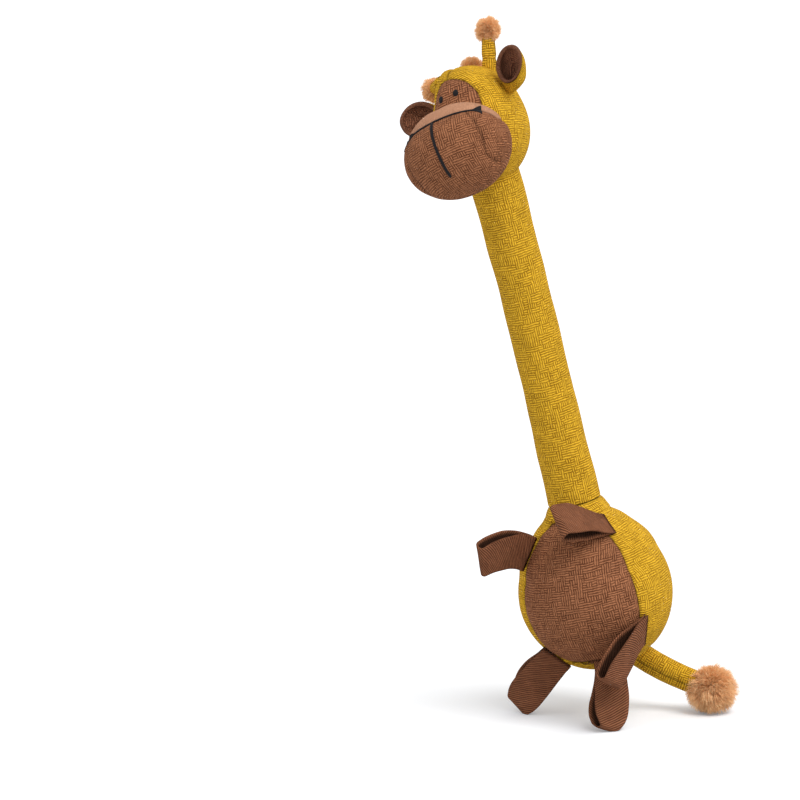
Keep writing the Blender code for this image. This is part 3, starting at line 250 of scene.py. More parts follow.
# Straps: tape folded over and sewn in at its root
STRAP_LENGTH = 0.057
STRAP_WIDTH = 0.029
TAPE_THICKNESS = 0.0014
STRAP_OPENING = 0.0028
STRAP_OPEN_SHARE = 0.6
STRAP_ROUND_SHARE = 0.68
STRAP_END_POWER = 2.2
STRAP_SLIT_START_SHARE = 0.11
STRAP_LAST_SHARE = 0.92
STRAP_FLARE = 0.85
SEAM_GAP = 0.0003
FLOOR_CUT = 0.0005
STRAP_EDGE_ROUND = 0.0003
DROOP_LIMIT = math.radians(25)
# Each strap: its body, its heading at the root and at the tip, the line across its tip, how wide its tip
# stays, the side where its two layers part most, how far its root reaches in behind the seam, how far its
# front layer lies back from that side, how wide its closed and open sides are at the root, and how far it
# is open
STRAPS = {
    "arm_right": {
        "body": "right_arm",
        "root_heading": (-0.450, -0.870, -0.180),
        "tip_heading": (-0.450, -0.817, -0.355),
        "tip_width": (0.042, -0.368, 0.929),
        "tip_width_share": 0.90,
        "opens": (0, 0, 1),
        "root_sink": 0.003,
        "skew": 0.0014,
        "root_shares": (1.0, 1.0),
        "opening": 0.55,
    },
    "arm_left": {
        "body": "left_arm",
        "root_heading": (-0.309, -0.934, 0.181),
        "tip_heading": (-0.443, -0.894, 0.066),
        "tip_width": (-0.45, 0.45, 0.77),
        "tip_width_share": 0.90,
        "opens": (0, 0, -1),
        "root_sink": 0.0055,
        "skew": 0.0014,
        "root_shares": (0.35, 1.0),
        "opening": 0.8,
    },
    "leg_right": {
        "body": "right_leg",
        "root_heading": (-0.62, 0.26, -0.74),
        "tip_heading": (-0.50, 0.30, -0.81),
        "tip_width": (-0.757, 0.452, 0.473),
        "tip_width_share": 0.40,
        "opens": (-1, -1, 0),
        "root_sink": 0.005,
        "skew": 0.0014,
        "root_shares": (1.0, 0.9),
        "opening": 0.7,
    },
    "leg_left": {
        "body": "left_leg",
        "root_heading": (-0.27, -0.42, -0.87),
        "tip_heading": (-0.33, -0.36, -0.87),
        "tip_width": (0.438, 0.787, -0.436),
        "tip_width_share": 0.70,
        "opens": (-1, -1, 0),
        "root_sink": 0.0055,
        "skew": 0.0,
        "root_shares": (1.0, 1.0),
        "opening": 1.0,
    },
    "leg_front": {
        "body": "front_leg",
        "root_heading": (0.0, -0.34, -0.94),
        "tip_heading": (-0.10, -0.33, -0.94),
        "tip_width": (0.66, 0.75, 0.04),
        "tip_width_share": 0.12,
        "opens": (-1, -1, 0),
        "root_sink": 0.004,
        "skew": 0.0009,
        "root_shares": (0.85, 0.70),
        "opening": 0.9,
    },
}
FLOOR_LEGS = ("leg_right", "leg_front")

# Mesh fineness
CELL = 0.0016
SEAM_SPACING = 0.0008

# Cloth simulation: it runs on every third row and column of the fine cloth, which is held along its seams,
# and its moves are kept within a reach and smoothed
SIM_STEP = 3
SIM_FRAMES = 20
SIM_PRESSURE = 4.0
SIM_SLACK = 0.02
SIM_STIFFNESS = 15.0
SIM_BENDING = 0.5
SIM_HOLD_WIDTH = 0.003
SIM_REACH = 0.0012
SIM_SMOOTHING = 2

# Sewing: how deep and wide a seam presses in, how much the cloth gathers beside it and swells away from it,
# and how much painted shade darkens the cloth there and deep in the straps' slits
SEAM_DEPTH = 0.0013
SEAM_WIDTH = 0.0028
SEAM_POWER = 1.3
PUCKER_DEPTH = 0.00045
PUCKER_WIDTH = 0.008
PUCKER_SPACING = 0.006
LUMP_DEPTH = 0.0006
LUMP_SIZE = 0.030
NO_SEAM = 0.1
SEAM_SHADE_WIDTH = 0.0011
SEAM_SHADE = 0.55
SLIT_SHADE = 0.80
SLIT_SHADE_REACH = 0.0035
TAPE_WAVE_SIZE = 0.014
TAPE_WAVE_DEPTH = 0.0004

# Weave: spacing of the threads, how many lie side by side in one basket, how often these stand upright, how
# high they stay where they go on, how far they waver as (size, amount), and what makes their tone and relief
YARN_PITCH = 0.0019
YARNS_PER_BASKET = 2
UPRIGHT_CHANCE = 0.52
FLOAT_ON_HEIGHT = 0.8
FLOAT_END_HEIGHT = 0.25
FLOAT_END_SLOPE = 4.5
RIDGE_SHARPNESS = 3.6
YARN_WAVERS = ((0.014, 0.0022), (0.003, 0.0012))
# Tone is each yarn's own tone and fuzz, plus painted highlight on the thread crests and painted shade in the
# dips and gaps
YARN_TONE_AND_PAINTED_LIGHT = {"ridge": 0.88, "dip": 0.26, "yarn": 0.30, "fuzz": 0.80}
YARN_RELIEF = {"height": 0.30, "ridge": 0.90, "yarn": 0.25, "fuzz": 0.45}
YARN_DEPTH = 0.00045
YARN_FUZZ_SIZE = 0.0007
YARN_COLUMN_SHARE = 0.37
YARN_ROW_SHARE = 0.53
CLOTH_MOTTLE_SIZE = 0.016
CLOTH_MOTTLE = (0.8, 0.4)
RIB_PITCH = 0.0021
RIB_LEAN = 0.7
RIB_SHARPNESS = 1.3
RIB_WAVER = (0.009, 0.0012)
RIB_GRAIN_SHARE = 0.55
RIB_YARN_LENGTH = 0.006
# The ribs' tone is lighter on their crests and darker between them: painted highlight and painted shade, with
# each yarn's own tone and fuzz.
RIB_TONE = {"rib": 0.75, "yarn": 0.18, "fuzz": 0.35}
RIB_TONE_DROP = 0.12
RIB_RELIEF = {"grain": 0.12, "fuzz": 0.3}
RIB_DEPTH = 0.0008
RIB_FUZZ_SIZE = 0.0005
TAPE_MOTTLE_SIZE = 0.012
TAPE_MOTTLE = (0.75, 0.5)
SATIN_PITCH = 0.0005
SATIN_DEPTH = 0.0002
SATIN_MOTTLE_SIZE = 0.002
# Fur tone: each strand's own tone, and darker towards the root as painted shade
FUR_TONE = {"own": 0.45, "along": 0.6}
FUR_TONES = 997.0

# Colours, as linear light
# Each weave's and tape's dark is reached as painted shade in the gaps between threads and its light as
# painted highlight on their crests, along with each yarn's own tone.
MUSTARD_LIGHT = (0.97, 0.57, 0.038)
MUSTARD_DARK = (0.24, 0.10, 0.003)
BROWN_LIGHT = (0.47, 0.195, 0.094)
BROWN_DARK = (0.070, 0.018, 0.006)
BRIDGE_LIGHT = (0.64, 0.335, 0.20)
BRIDGE_DARK = (0.39, 0.18, 0.105)
TAPE_LIGHT = (0.38, 0.150, 0.074)
TAPE_DARK = (0.040, 0.011, 0.005)
LINING_LIGHT = (0.46, 0.20, 0.115)
LINING_DARK = (0.060, 0.018, 0.009)
# Fur: lighter at the tips, darker at the roots as painted shade, and darker still on the ground ball deep in
# the fur as painted shade
FUR_LIGHT = (1.0, 0.70, 0.40)
FUR_DARK = (1.0, 0.53, 0.24)
FUR_GROUND_PAINTED_SHADE = tuple(0.6 * part for part in FUR_DARK)
THREAD_BLACK = (0.010, 0.009, 0.010)
PLASTIC_LIGHT = (0.80, 0.82, 0.84)
PLASTIC_DARK = (0.72, 0.74, 0.77)
FELT_LIGHT = (0.66, 0.64, 0.60)
FELT_DARK = (0.52, 0.50, 0.46)

UP = np.array((0.0, 0.0, 1.0))
FRONT = np.array((0.0, -1.0, 0.0))
LEAN_WAY = np.array((-math.cos(LEAN_TURN), -math.sin(LEAN_TURN), 0.0))
BODY_AXIS = LEAN_WAY * math.sin(BODY_LEAN) + UP * math.cos(BODY_LEAN)


# Vectors and placements
def unit(vector):
    """A vector, or rows of vectors, at length one."""
    found = np.asarray(vector, float)
    return found / np.linalg.norm(found, axis=-1, keepdims=True)


def axes_of(up, front):
    """A turning matrix whose third column runs along up and whose second looks away from front."""
    z_axis = unit(up)
    towards = np.asarray(front, float)
    y_axis = -unit(towards - z_axis * towards.dot(z_axis))
    return np.column_stack((np.cross(y_axis, z_axis), y_axis, z_axis))


def slide(first, second, share):
    """A unit vector between two, turned by a share of the angle between them."""
    one, other = unit(first), unit(second)
    angle = math.acos(float(np.clip(one.dot(other), -1, 1)))
    if angle < 1e-6:
        return one
    return unit(one * math.sin((1 - share) * angle) + other * math.sin(share * angle))


def square_to(vector, axis):
    """The part of a vector square to an axis, as a unit vector."""
    along = unit(axis)
    return unit(np.asarray(vector, float) - along * np.dot(vector, along))


def hinge(body):
    """The place and the line of the joint that a body turns about."""
    joint = next(joint for joint in frame["joints"] if joint["child"] == body)
    return np.array(joint["pos_m"]), unit(joint["axis"])


def turned_by(angle, axis):
    """The turning matrix for an angle about an axis."""
    return np.array(Matrix.Rotation(angle, 3, Vector(axis)))


BODY_TURN = axes_of(BODY_AXIS, FRONT)


def neck_heading(distance):
    """The neck's direction at a distance along it from the neck seam."""
    lean = BODY_LEAN + (NECK_LEAN_TOP - BODY_LEAN) * distance / HEAD_REACH
    return LEAN_WAY * math.sin(lean) + UP * math.cos(lean)


def neck_place(distance):
    """The neck's centre at a distance along it from the neck seam."""
    rate = (NECK_LEAN_TOP - BODY_LEAN) / HEAD_REACH
    lean = BODY_LEAN + rate * distance
    aside = (math.cos(BODY_LEAN) - math.cos(lean)) / rate
    rise = (math.sin(lean) - math.sin(BODY_LEAN)) / rate
    return BODY_CENTRE + BODY_AXIS * NECK_SEAM_HEIGHT + LEAN_WAY * aside + UP * rise


SKULL_CENTRE = neck_place(HEAD_REACH)
MUZZLE_CENTRE = SKULL_CENTRE + HEAD_TURN @ np.array((0, -MUZZLE_FORWARD, -MUZZLE_DROP))


# Meshes
def placed(name, data):
    """A new object of a mesh, light or camera in the scene."""
    made = bpy.data.objects.new(name, data)
    bpy.context.scene.collection.objects.link(made)
    return made


@contextmanager
def edited(mesh):
    """A mesh's points and faces to change, put back at the end."""
    work = bmesh.new()
    work.from_mesh(mesh)
    yield work
    work.to_mesh(mesh)
    work.free()


def mesh_object(name, points, faces, cloth, inside=None):
    """A smooth mesh object with its maps, facing away from the point inside, where one is given."""
    mesh = bpy.data.meshes.new(name)
    mesh.from_pydata(points.tolist(), [], faces.tolist())
    add_maps(mesh, cloth)
    with edited(mesh) as work:
        bmesh.ops.remove_doubles(work, verts=work.verts, dist=1e-7)
        if inside is None:
            bmesh.ops.recalc_face_normals(work, faces=work.faces)
        else:
            centre = Vector(inside)
            facing = sum(f.calc_area() * f.normal.dot(f.calc_center_median() - centre) for f in work.faces)
            if facing < 0:
                bmesh.ops.reverse_faces(work, faces=work.faces)
    mesh.shade_smooth()
    return placed(name, mesh)


def add_maps(mesh, corners):
    """Adds the flat cloth's map, in metres, and a map of how far each corner is from a seam."""
    layer = mesh.uv_layers.new(name="Cloth")
    layer.data.foreach_set("uv", corners[:, :2].astype(np.float32).ravel())
    away = corners[:, 2:3] if corners.shape[1] > 2 else np.full((len(corners), 1), NO_SEAM)
    layer = mesh.uv_layers.new(name="Seam")
    layer.data.foreach_set("uv", np.hstack((away, 0 * away)).astype(np.float32).ravel())


def grid_parts(points, cloth, wrap=False, first=0):
    """The points, faces and corner map of a grid of points, closed round its columns where wrap is set."""
    rows, columns = points.shape[:2]
    index = first + np.arange(rows * columns).reshape(rows, columns)
    if wrap:
        index = np.hstack((index, index[:, :1]))
    faces = np.stack((index[:-1, :-1], index[:-1, 1:], index[1:, 1:], index[1:, :-1]), -1)
    corners = np.stack((cloth[:-1, :-1], cloth[:-1, 1:], cloth[1:, 1:], cloth[1:, :-1]), 2)
    return points.reshape(-1, 3), faces.reshape(-1, 4), corners.reshape(-1, cloth.shape[-1])


def grid_object(name, grids, inside=None):
    """One mesh object from several grids of (points, cloth map, wrap), welded where they meet."""
    points, faces, corners = [], [], []
    first = 0
    for spots, cloth, wrap in grids:
        found = grid_parts(spots, cloth, wrap, first)
        points.append(found[0])
        faces.append(found[1])
        corners.append(found[2])
        first += len(found[0])
    return mesh_object(name, np.vstack(points), np.vstack(faces), np.vstack(corners), inside)


def grid_normals(points, wrap=False):
    """Unit normals of a grid of points."""
    if wrap:
        across = np.roll(points, -1, 1) - np.roll(points, 1, 1)
    else:
        across = np.gradient(points, axis=1)
    along = np.gradient(points, axis=0)
    normal = np.cross(along, across)
    length = np.linalg.norm(normal, axis=-1, keepdims=True)
    return normal / np.maximum(length, 1e-12)


def tube(turns, centres, acrosses, overs, radii, map_radius, distances):
    """A grid of points round a line, the directions away from it, and its cloth map."""
    angles = turns[:-1, None]
    rings = np.cos(angles) * np.array(acrosses)[:, None] + np.sin(angles) * np.array(overs)[:, None]
    spots = np.array(centres)[:, None] + rings * np.array(radii)[:, None, None]
    cloth = np.stack(np.broadcast_arrays(turns * map_radius, np.array(distances)[:, None]), -1)
    return spots, rings, cloth


def faced(points, normals, inside):
    """Normals turned to face away from a point."""
    return normals if np.sum((points - inside) * normals) > 0 else -normals


def summed(steps):
    """How far along each point lies, from the steps between them."""
    return np.concatenate(([0], np.cumsum(steps)))


def line_lengths(line):
    """How far along a line each of its points lies."""
    return summed(np.linalg.norm(np.diff(line, axis=0), axis=1))


def line_at(line, distances):
    """The points of a line at distances along it."""
    lengths = line_lengths(line)
    return np.column_stack([np.interp(distances, lengths, column) for column in line.T])


def line_points(line):
    """A seam's points, spaced evenly and closely."""
    line = np.asarray(line, float)
    whole = line_lengths(line)[-1]
    return line_at(line, np.linspace(0, whole, max(2, int(whole / SEAM_SPACING))))


def seam_tree(lines):
    """A tree of seam points to measure distances from."""
    spots = np.vstack([line_points(line) for line in lines])
    tree = KDTree(len(spots))
    for number, spot in enumerate(spots):
        tree.insert(spot, number)
    tree.balance()
    return tree


def sewn(points, cloth, normals, tree, depth=SEAM_DEPTH, lump=LUMP_DEPTH, pucker=PUCKER_DEPTH):
    """Points of stuffed cloth, pressed in and gathered at its seams, and its map with the seam's distance."""
    moved = points.reshape(-1, 3).copy()
    outward = normals.reshape(-1, 3)
    away = np.zeros(len(moved))
    for number, spot in enumerate(moved):
        nearest, _, distance = tree.find(spot)
        away[number] = distance
        press = depth * math.exp(-((distance / SEAM_WIDTH) ** SEAM_POWER))
        gather = noise.noise(nearest / PUCKER_SPACING) * pucker
        gather *= math.exp(-distance / PUCKER_WIDTH) * (1 - math.exp(-distance / SEAM_WIDTH))
        swelling = noise.noise(Vector(spot) / LUMP_SIZE) * lump * (1 - math.exp(-distance / PUCKER_WIDTH))
        moved[number] += outward[number] * (gather + swelling - press)
    away = away.reshape(points.shape[:2])
    if cloth.shape[1] > away.shape[1]:
        away = np.hstack((away, away[:, :1]))
    return moved.reshape(points.shape), np.dstack((cloth, away))


# Cloth simulation
def sampled(points, step=SIM_STEP):
    """Every few rows and columns of a grid, its last ones too, and their numbers."""
    rows = sorted({*range(0, points.shape[0], step), points.shape[0] - 1})
    columns = sorted({*range(0, points.shape[1], step), points.shape[1] - 1})
    return rows, columns


def spread(values, rows, columns, shape):
    """Values on a sampled grid, laid out smoothly over the whole grid."""
    tall = np.zeros((shape[0], len(columns), 3))
    for column in range(len(columns)):
        for axis in range(3):
            tall[:, column, axis] = np.interp(range(shape[0]), rows, values[:, column, axis])
    full = np.zeros((*shape[:2], 3))
    for row in range(shape[0]):
        for axis in range(3):
            full[row, :, axis] = np.interp(range(shape[1]), columns, tall[row, :, axis])
    for _ in range(SIM_SMOOTHING):
        full[1:-1] = (full[:-2] + 2 * full[1:-1] + full[2:]) / 4
        full[:, 1:-1] = (full[:, :-2] + 2 * full[:, 1:-1] + full[:, 2:]) / 4
    return full


def stuffed(grids, tree, inside):
    """Grids of a cover blown up by its filling in a cloth simulation, held along its seams."""
    parts, points, faces = [], [], []
    first = 0
    for grid in grids:
        rows, columns = sampled(grid)
        coarse = grid[np.ix_(rows, columns)]
        found = grid_parts(coarse, np.zeros((*coarse.shape[:2], 2)), False, first)
        points.append(found[0])
        faces.append(found[1])
        parts.append((rows, columns, first, coarse))
        first += len(found[0])
    points, faces = np.vstack(points), np.vstack(faces)
    places, index = {}, []
    for spot in points:
        key = tuple(np.round(spot, 6))
        index.append(places.setdefault(key, len(places)))
    single = [tuple(dict.fromkeys(index[corner] for corner in face)) for face in faces.tolist()]
    start = np.array(list(places))
    mesh = bpy.data.meshes.new("stuffing_trial")
    mesh.from_pydata(start.tolist(), [], [face for face in single if len(face) > 2])
    with edited(mesh) as work:
        for face in work.faces:
            if face.normal.dot(face.calc_center_median() - Vector(inside)) < 0:
                face.normal_flip()
    trial = placed("stuffing_trial", mesh)
    held = trial.vertex_groups.new(name="seams")
    for number, spot in enumerate(start):
        distance = tree.find(Vector(spot))[2]
        held.add([number], math.exp(-((distance / SIM_HOLD_WIDTH) ** 2)), "REPLACE")
    cloth = trial.modifiers.new("cloth", "CLOTH")
    settings = cloth.settings
    settings.vertex_group_mass = "seams"
    settings.use_pressure = True
    settings.uniform_pressure_force = SIM_PRESSURE
    settings.shrink_min = -SIM_SLACK
    settings.tension_stiffness = SIM_STIFFNESS
    settings.compression_stiffness = SIM_STIFFNESS
    settings.shear_stiffness = SIM_STIFFNESS / 2
    settings.bending_stiffness = SIM_BENDING
    settings.effector_weights.gravity = 0.0
    cloth.point_cache.frame_start = 1
    cloth.point_cache.frame_end = SIM_FRAMES
    scene = bpy.context.scene
    for number in range(1, SIM_FRAMES + 1):
        scene.frame_set(number)
    solved = trial.evaluated_get(bpy.context.evaluated_depsgraph_get())
    ends = np.array([vertex.co for vertex in solved.data.vertices])
    moves = ends - start
    reach = np.linalg.norm(moves, axis=1, keepdims=True)
    moves = moves * np.minimum(1, SIM_REACH * np.tanh(reach / SIM_REACH) / np.maximum(reach, 1e-9))
    bpy.data.objects.remove(trial)
    bpy.data.meshes.remove(mesh)
    scene.frame_set(1)
    result = []
    for grid, (rows, columns, low, coarse) in zip(grids, parts):
        count = coarse.shape[0] * coarse.shape[1]
        moved = moves[index[low:low + count]].reshape(coarse.shape)
        result.append(grid + spread(moved, rows, columns, grid.shape))
    return result


# Materials
class Field:
    """What a material works out from place to place: a number, colour or vector, and sums with it."""

    def __init__(self, tree, socket):
        self.tree = tree
        self.socket = socket

    def __add__(self, other):
        return self.tree.math("ADD", self, other)

    def __sub__(self, other):
        return self.tree.math("SUBTRACT", self, other)

    def __rsub__(self, other):
        return self.tree.math("SUBTRACT", other, self)

    def __mul__(self, other):
        return self.tree.math("MULTIPLY", self, other)

    def __truediv__(self, other):
        return self.tree.math("DIVIDE", self, other)

    def __pow__(self, other):
        return self.tree.math("POWER", self, other)

    def floor(self):
        """The whole number below."""
        return self.tree.math("FLOOR", self)

    def fraction(self):
        """What lies above the whole number."""
        return self.tree.math("FRACT", self)


class Tree:
    """A material's nodes, added and linked one by one."""

    def __init__(self, name):
        self.material = bpy.data.materials.new(name)
        self.material.use_nodes = True
        self.nodes = self.material.node_tree.nodes
        self.links = self.material.node_tree.links
        self.shader = self.nodes["Principled BSDF"]

    def put(self, socket, value):
        """Links a socket to a field, or sets its own value."""
        if isinstance(value, Field):
            self.links.new(value.socket, socket)
        else:
            socket.default_value = value

    def node(self, kind, output=0, settings=None, **sockets):
        """An output of a new node with its settings, its input sockets given by name."""
        made = self.nodes.new(kind)
        for name, value in (settings or {}).items():
            setattr(made, name, value)
        for name, value in sockets.items():
            self.put(made.inputs[name], value)
        return Field(self, made.outputs[output])

    def numbered(self, kind, settings, output, values):
        """An output of a new node with its settings, its input sockets given by number."""
        made = self.nodes.new(kind)
        for name, value in settings.items():
            setattr(made, name, value)
        for number, value in values.items():
            self.put(made.inputs[number], value)
        return Field(self, made.outputs[output])

    def math(self, operation, *values):
        """The result of one sum."""
        return self.numbered("ShaderNodeMath", {"operation": operation}, 0, dict(enumerate(values)))

    def mix(self, share, first, second):
        """A colour between two."""
        ends = [(*value, 1.0) if isinstance(value, tuple) else value for value in (first, second)]
        return self.numbered("ShaderNodeMix", {"data_type": "RGBA"}, 2, {0: share, 6: ends[0], 7: ends[1]})

    def brighten(self, colour, factor):
        """A colour made lighter or darker by a factor."""
        return self.numbered("ShaderNodeVectorMath", {"operation": "SCALE"}, 0, {0: colour, "Scale": factor})

    def noise(self, vector, size, detail=2.0):
        """Smooth noise from 0 to 1 with lumps of a size."""
        return self.node("ShaderNodeTexNoise", "Fac", Scale=1.0 / size, Detail=detail, Vector=vector)

    def chance(self, x, y):
        """A random number from 0 to 1 for each pair of whole numbers."""
        pair = self.node("ShaderNodeCombineXYZ", X=x, Y=y, Z=0.0)
        return self.node("ShaderNodeTexWhiteNoise", "Value", {"noise_dimensions": "2D"}, Vector=pair)

    def parts(self, vector):
        """The first two numbers of a vector."""
        split = self.nodes.new("ShaderNodeSeparateXYZ")
        self.put(split.inputs[0], vector)
        return Field(self, split.outputs[0]), Field(self, split.outputs[1])

    def cloth_place(self):
        """Across and along, in metres on the flat cloth, and the whole vector."""
        place = self.node("ShaderNodeUVMap", 0, {"uv_map": "Cloth"})
        return *self.parts(place), place

    def bump(self, height, distance, strength):
        """A bumped normal from a height of 0 to 1."""
        return self.node("ShaderNodeBump", Height=height, Distance=distance, Strength=strength)

    def finish(self, colour, normal, roughness, sheen=0.0, sheen_tint=(1, 1, 1)):
        """Joins the colour and normal to the shader, with its uniform values."""
        self.put(self.shader.inputs["Base Color"], colour)
        if normal is not None:
            self.put(self.shader.inputs["Normal"], normal)
        for name, value in {
            "Roughness": roughness,
            "Sheen Weight": sheen,
            "Sheen Roughness": 0.5,
            "Sheen Tint": (*sheen_tint, 1.0),
            "Specular IOR Level": 0.1,
        }.items():
            self.shader.inputs[name].default_value = value
        return self.material


def weighted(fields, weights):
    """The sum of named fields, each times its own weight."""
    return reduce(add, (fields[name] * weight for name, weight in weights.items()))


def wavered(tree, across, along, place, size, amount):
    """Across and along, pushed about a little so that no thread is straight."""
    shifted = tree.numbered("ShaderNodeVectorMath", {"operation": "ADD"}, 0, {0: place, 1: (0.31, 0.17, 0.0)})
    moves = [(tree.noise(vector, size) - 0.5) * amount for vector in (place, shifted)]
    return across + moves[0], along + moves[1]


def thread_round(tree, place, sharpness=1.0):
    """The height across one round thread, 0 to 1."""
    return tree.math("SINE", place.fraction() * math.pi) ** sharpness


def float_ends(tree, place):
    """How a group of threads dips where it goes under the next."""
    part = place.fraction()
    nearest = tree.math("MINIMUM", part, 1.0 - part)
    return tree.math("MINIMUM", 1.0, nearest * FLOAT_END_SLOPE + FLOAT_END_HEIGHT)


def towards_edge(tree, place):
    """-1 or 1, for the nearer edge of a cell."""
    return tree.math("SIGN", place.fraction() - 0.5)


def woven_cell(tree, x, row):
    """The place along a row of baskets, its column, and whether its threads stand upright, 1 or 0."""
    shift = (tree.chance(row, 3.0) * float(YARNS_PER_BASKET)).floor()
    place = (x + shift) / float(YARNS_PER_BASKET)
    column = place.floor()
    return place, column, tree.math("GREATER_THAN", tree.chance(column, row), UPRIGHT_CHANCE)


def seam_shade(tree, colour, depth=SEAM_SHADE):
    """A colour darkened by painted shade beside a seam or deep in a slit."""
    away, _ = tree.parts(tree.node("ShaderNodeUVMap", 0, {"uv_map": "Seam"}))
    shade = tree.math("EXPONENT", (away / SEAM_SHADE_WIDTH) ** 2.0 * -1.0)
    return tree.brighten(colour, 1.0 - shade * depth)


def mottle(tree, place, size, least, reach):
    """How bright the cloth is from place to place, from the least and up by the reach."""
    return tree.noise(place, size, 3.0) * reach + least


def basket_cloth(name, light, dark, contrast=1.0, pitch=YARN_PITCH, depth=YARN_DEPTH):
    """Coarse slub weave: threads lie across and along in a patchwork, and float on where it repeats."""
    tree = Tree(name)
    across, along, place = tree.cloth_place()
    for size, amount in YARN_WAVERS:
        across, along = wavered(tree, across, along, place, size, amount)
    x, y = across / pitch, along / pitch
    level = y / float(YARNS_PER_BASKET)
    row = level.floor()
    cell, column, upright = woven_cell(tree, x, row)
    _, _, upright_beyond = woven_cell(tree, x, row + towards_edge(tree, level))
    beside = tree.chance(column + towards_edge(tree, cell), row)
    level_beside = tree.math("LESS_THAN", beside, UPRIGHT_CHANCE)
    tall = tree.math("MAXIMUM", upright_beyond * FLOAT_ON_HEIGHT, float_ends(tree, level))
    wide = tree.math("MAXIMUM", level_beside * FLOAT_ON_HEIGHT, float_ends(tree, cell))
    dip = (tall - wide) * upright + wide
    round_tall, round_wide = thread_round(tree, x), thread_round(tree, y)
    section = (round_tall - round_wide) * upright + round_wide
    sideways = 1.0 - upright
    yarn_x = x.floor() * upright + column * sideways * YARN_COLUMN_SHARE
    yarn_y = y.floor() * sideways + row * upright * YARN_ROW_SHARE
    yarn = tree.chance(yarn_x, yarn_y)
    fuzz = tree.noise(place, YARN_FUZZ_SIZE, 3.0)
    ridge = section ** RIDGE_SHARPNESS * dip
    # Tone: lighter on the thread crests and darker in the dips and gaps, as painted highlight and painted
    # shade, with each yarn's own tone and fuzz.
    tone = weighted({"ridge": ridge, "dip": dip, "yarn": yarn - 0.5, "fuzz": fuzz - 0.5}, YARN_TONE_AND_PAINTED_LIGHT)
    colour = tree.mix((tone - 0.5) * contrast + 0.5, dark, light)
    colour = tree.brighten(colour, mottle(tree, place, CLOTH_MOTTLE_SIZE, *CLOTH_MOTTLE))
    fields = {"height": section * dip, "ridge": ridge, "yarn": yarn, "fuzz": fuzz}
    normal = tree.bump(weighted(fields, YARN_RELIEF), depth, 1.0)
    return tree.finish(seam_shade(tree, colour), normal, 0.92, 0.04, light)


def ribbed_tape(name, light, dark, pitch=RIB_PITCH):
    """Twill tape or corduroy: soft slanting ribs with a fine grain across them."""
    tree = Tree(name)
    across, along, place = tree.cloth_place()
    across, along = wavered(tree, across, along, place, *RIB_WAVER)
    x = (across * RIB_LEAN + along) / pitch
    rib = thread_round(tree, x, RIB_SHARPNESS)
    grain = tree.math("SINE", across * (math.tau / (RIB_GRAIN_SHARE * pitch)))
    fuzz = tree.noise(place, RIB_FUZZ_SIZE, 3.0)
    yarn = tree.chance(x.floor(), (across / RIB_YARN_LENGTH).floor())
    # Tone: painted highlight on the rib crests and painted shade between them, with each yarn's own tone and
    # fuzz.
    tone = weighted({"rib": rib, "yarn": yarn, "fuzz": fuzz}, RIB_TONE) - RIB_TONE_DROP
    colour = tree.brighten(tree.mix(tone, dark, light), mottle(tree, place, TAPE_MOTTLE_SIZE, *TAPE_MOTTLE))
    normal = tree.bump(rib + weighted({"grain": grain, "fuzz": fuzz}, RIB_RELIEF), RIB_DEPTH, 1.0)
    return tree.finish(seam_shade(tree, colour, SLIT_SHADE), normal, 0.9, 0.04, light)


def stitched_thread(name, colour):
    """Satin stitch: fine shiny threads side by side across the line."""
    tree = Tree(name)
    _, along, place = tree.cloth_place()
    ribs = thread_round(tree, along / SATIN_PITCH)
    # The threads' crests are painted lighter in a mottle: painted highlight.
    lighter = tuple(4.0 * part for part in colour)
    mixed = tree.mix(tree.noise(place, SATIN_MOTTLE_SIZE) * (ribs * 0.5), colour, lighter)
    return tree.finish(mixed, tree.bump(ribs, SATIN_DEPTH, 0.8), 0.55)


def fur_strands(name, light, dark):
    """Soft fur: each strand has its own tone, and it is darker towards its root as painted shade inside the
    ball.
    """
    tree = Tree(name)
    strand, along, _ = tree.cloth_place()
    own = tree.chance((strand * FUR_TONES).floor(), 5.0)
    tone = weighted({"own": own, "along": along}, FUR_TONE)
    return tree.finish(tree.mix(tone, dark, light), None, 0.8, 1.0, light)


def mottled(name, light, dark, roughness, size, depth, detail=3.0, strength=0.4):
    """Moulded plastic, felt or the knitted ground of fur, with a fine mottle."""
    tree = Tree(name)
    fine = tree.noise(tree.node("ShaderNodeTexCoord", "Object"), size, detail)
    return tree.finish(tree.mix(fine, dark, light), tree.bump(fine, depth, strength), roughness)


MATERIALS = {
    "mustard_cloth": basket_cloth("mustard_weave", MUSTARD_LIGHT, MUSTARD_DARK),
    "brown_cloth": basket_cloth("brown_weave", BROWN_LIGHT, BROWN_DARK),
    "brown_smooth": basket_cloth("brown_close_weave", BRIDGE_LIGHT, BRIDGE_DARK, 0.45, 0.0013, 0.0003),
    "ear_lining": basket_cloth("brown_lining", LINING_LIGHT, LINING_DARK, 1.0, 0.0015, 0.0006),
    "twill_tape": ribbed_tape("brown_tape", TAPE_LIGHT, TAPE_DARK),
    "black_thread": stitched_thread("black_satin", THREAD_BLACK),
    "peach_fur": fur_strands("peach_strands", FUR_LIGHT, FUR_DARK),
    # The fur's ground ball is darker than its strands: painted shade deep in the fur.
    "peach_ground": mottled("peach_ground", FUR_DARK, FUR_GROUND_PAINTED_SHADE, 0.9, 0.0009, 0.0006, 4.0, 0.8),
    "squeaker_plastic": mottled("white_plastic", PLASTIC_LIGHT, PLASTIC_DARK, 0.4, 0.002, 0.0001),
    "bead_pouch": mottled("pouch_felt", FELT_LIGHT, FELT_DARK, 0.95, 0.0008, 0.0004),
}


def dress(made, finish, body=None, nodes=()):
    """Gives a piece its material, its body and the solids that it stands for."""
    made.data.materials.clear()
    made.data.materials.append(MATERIALS[finish])
    if body:
        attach(made, body)
    if nodes:
        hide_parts(*nodes)
    return made


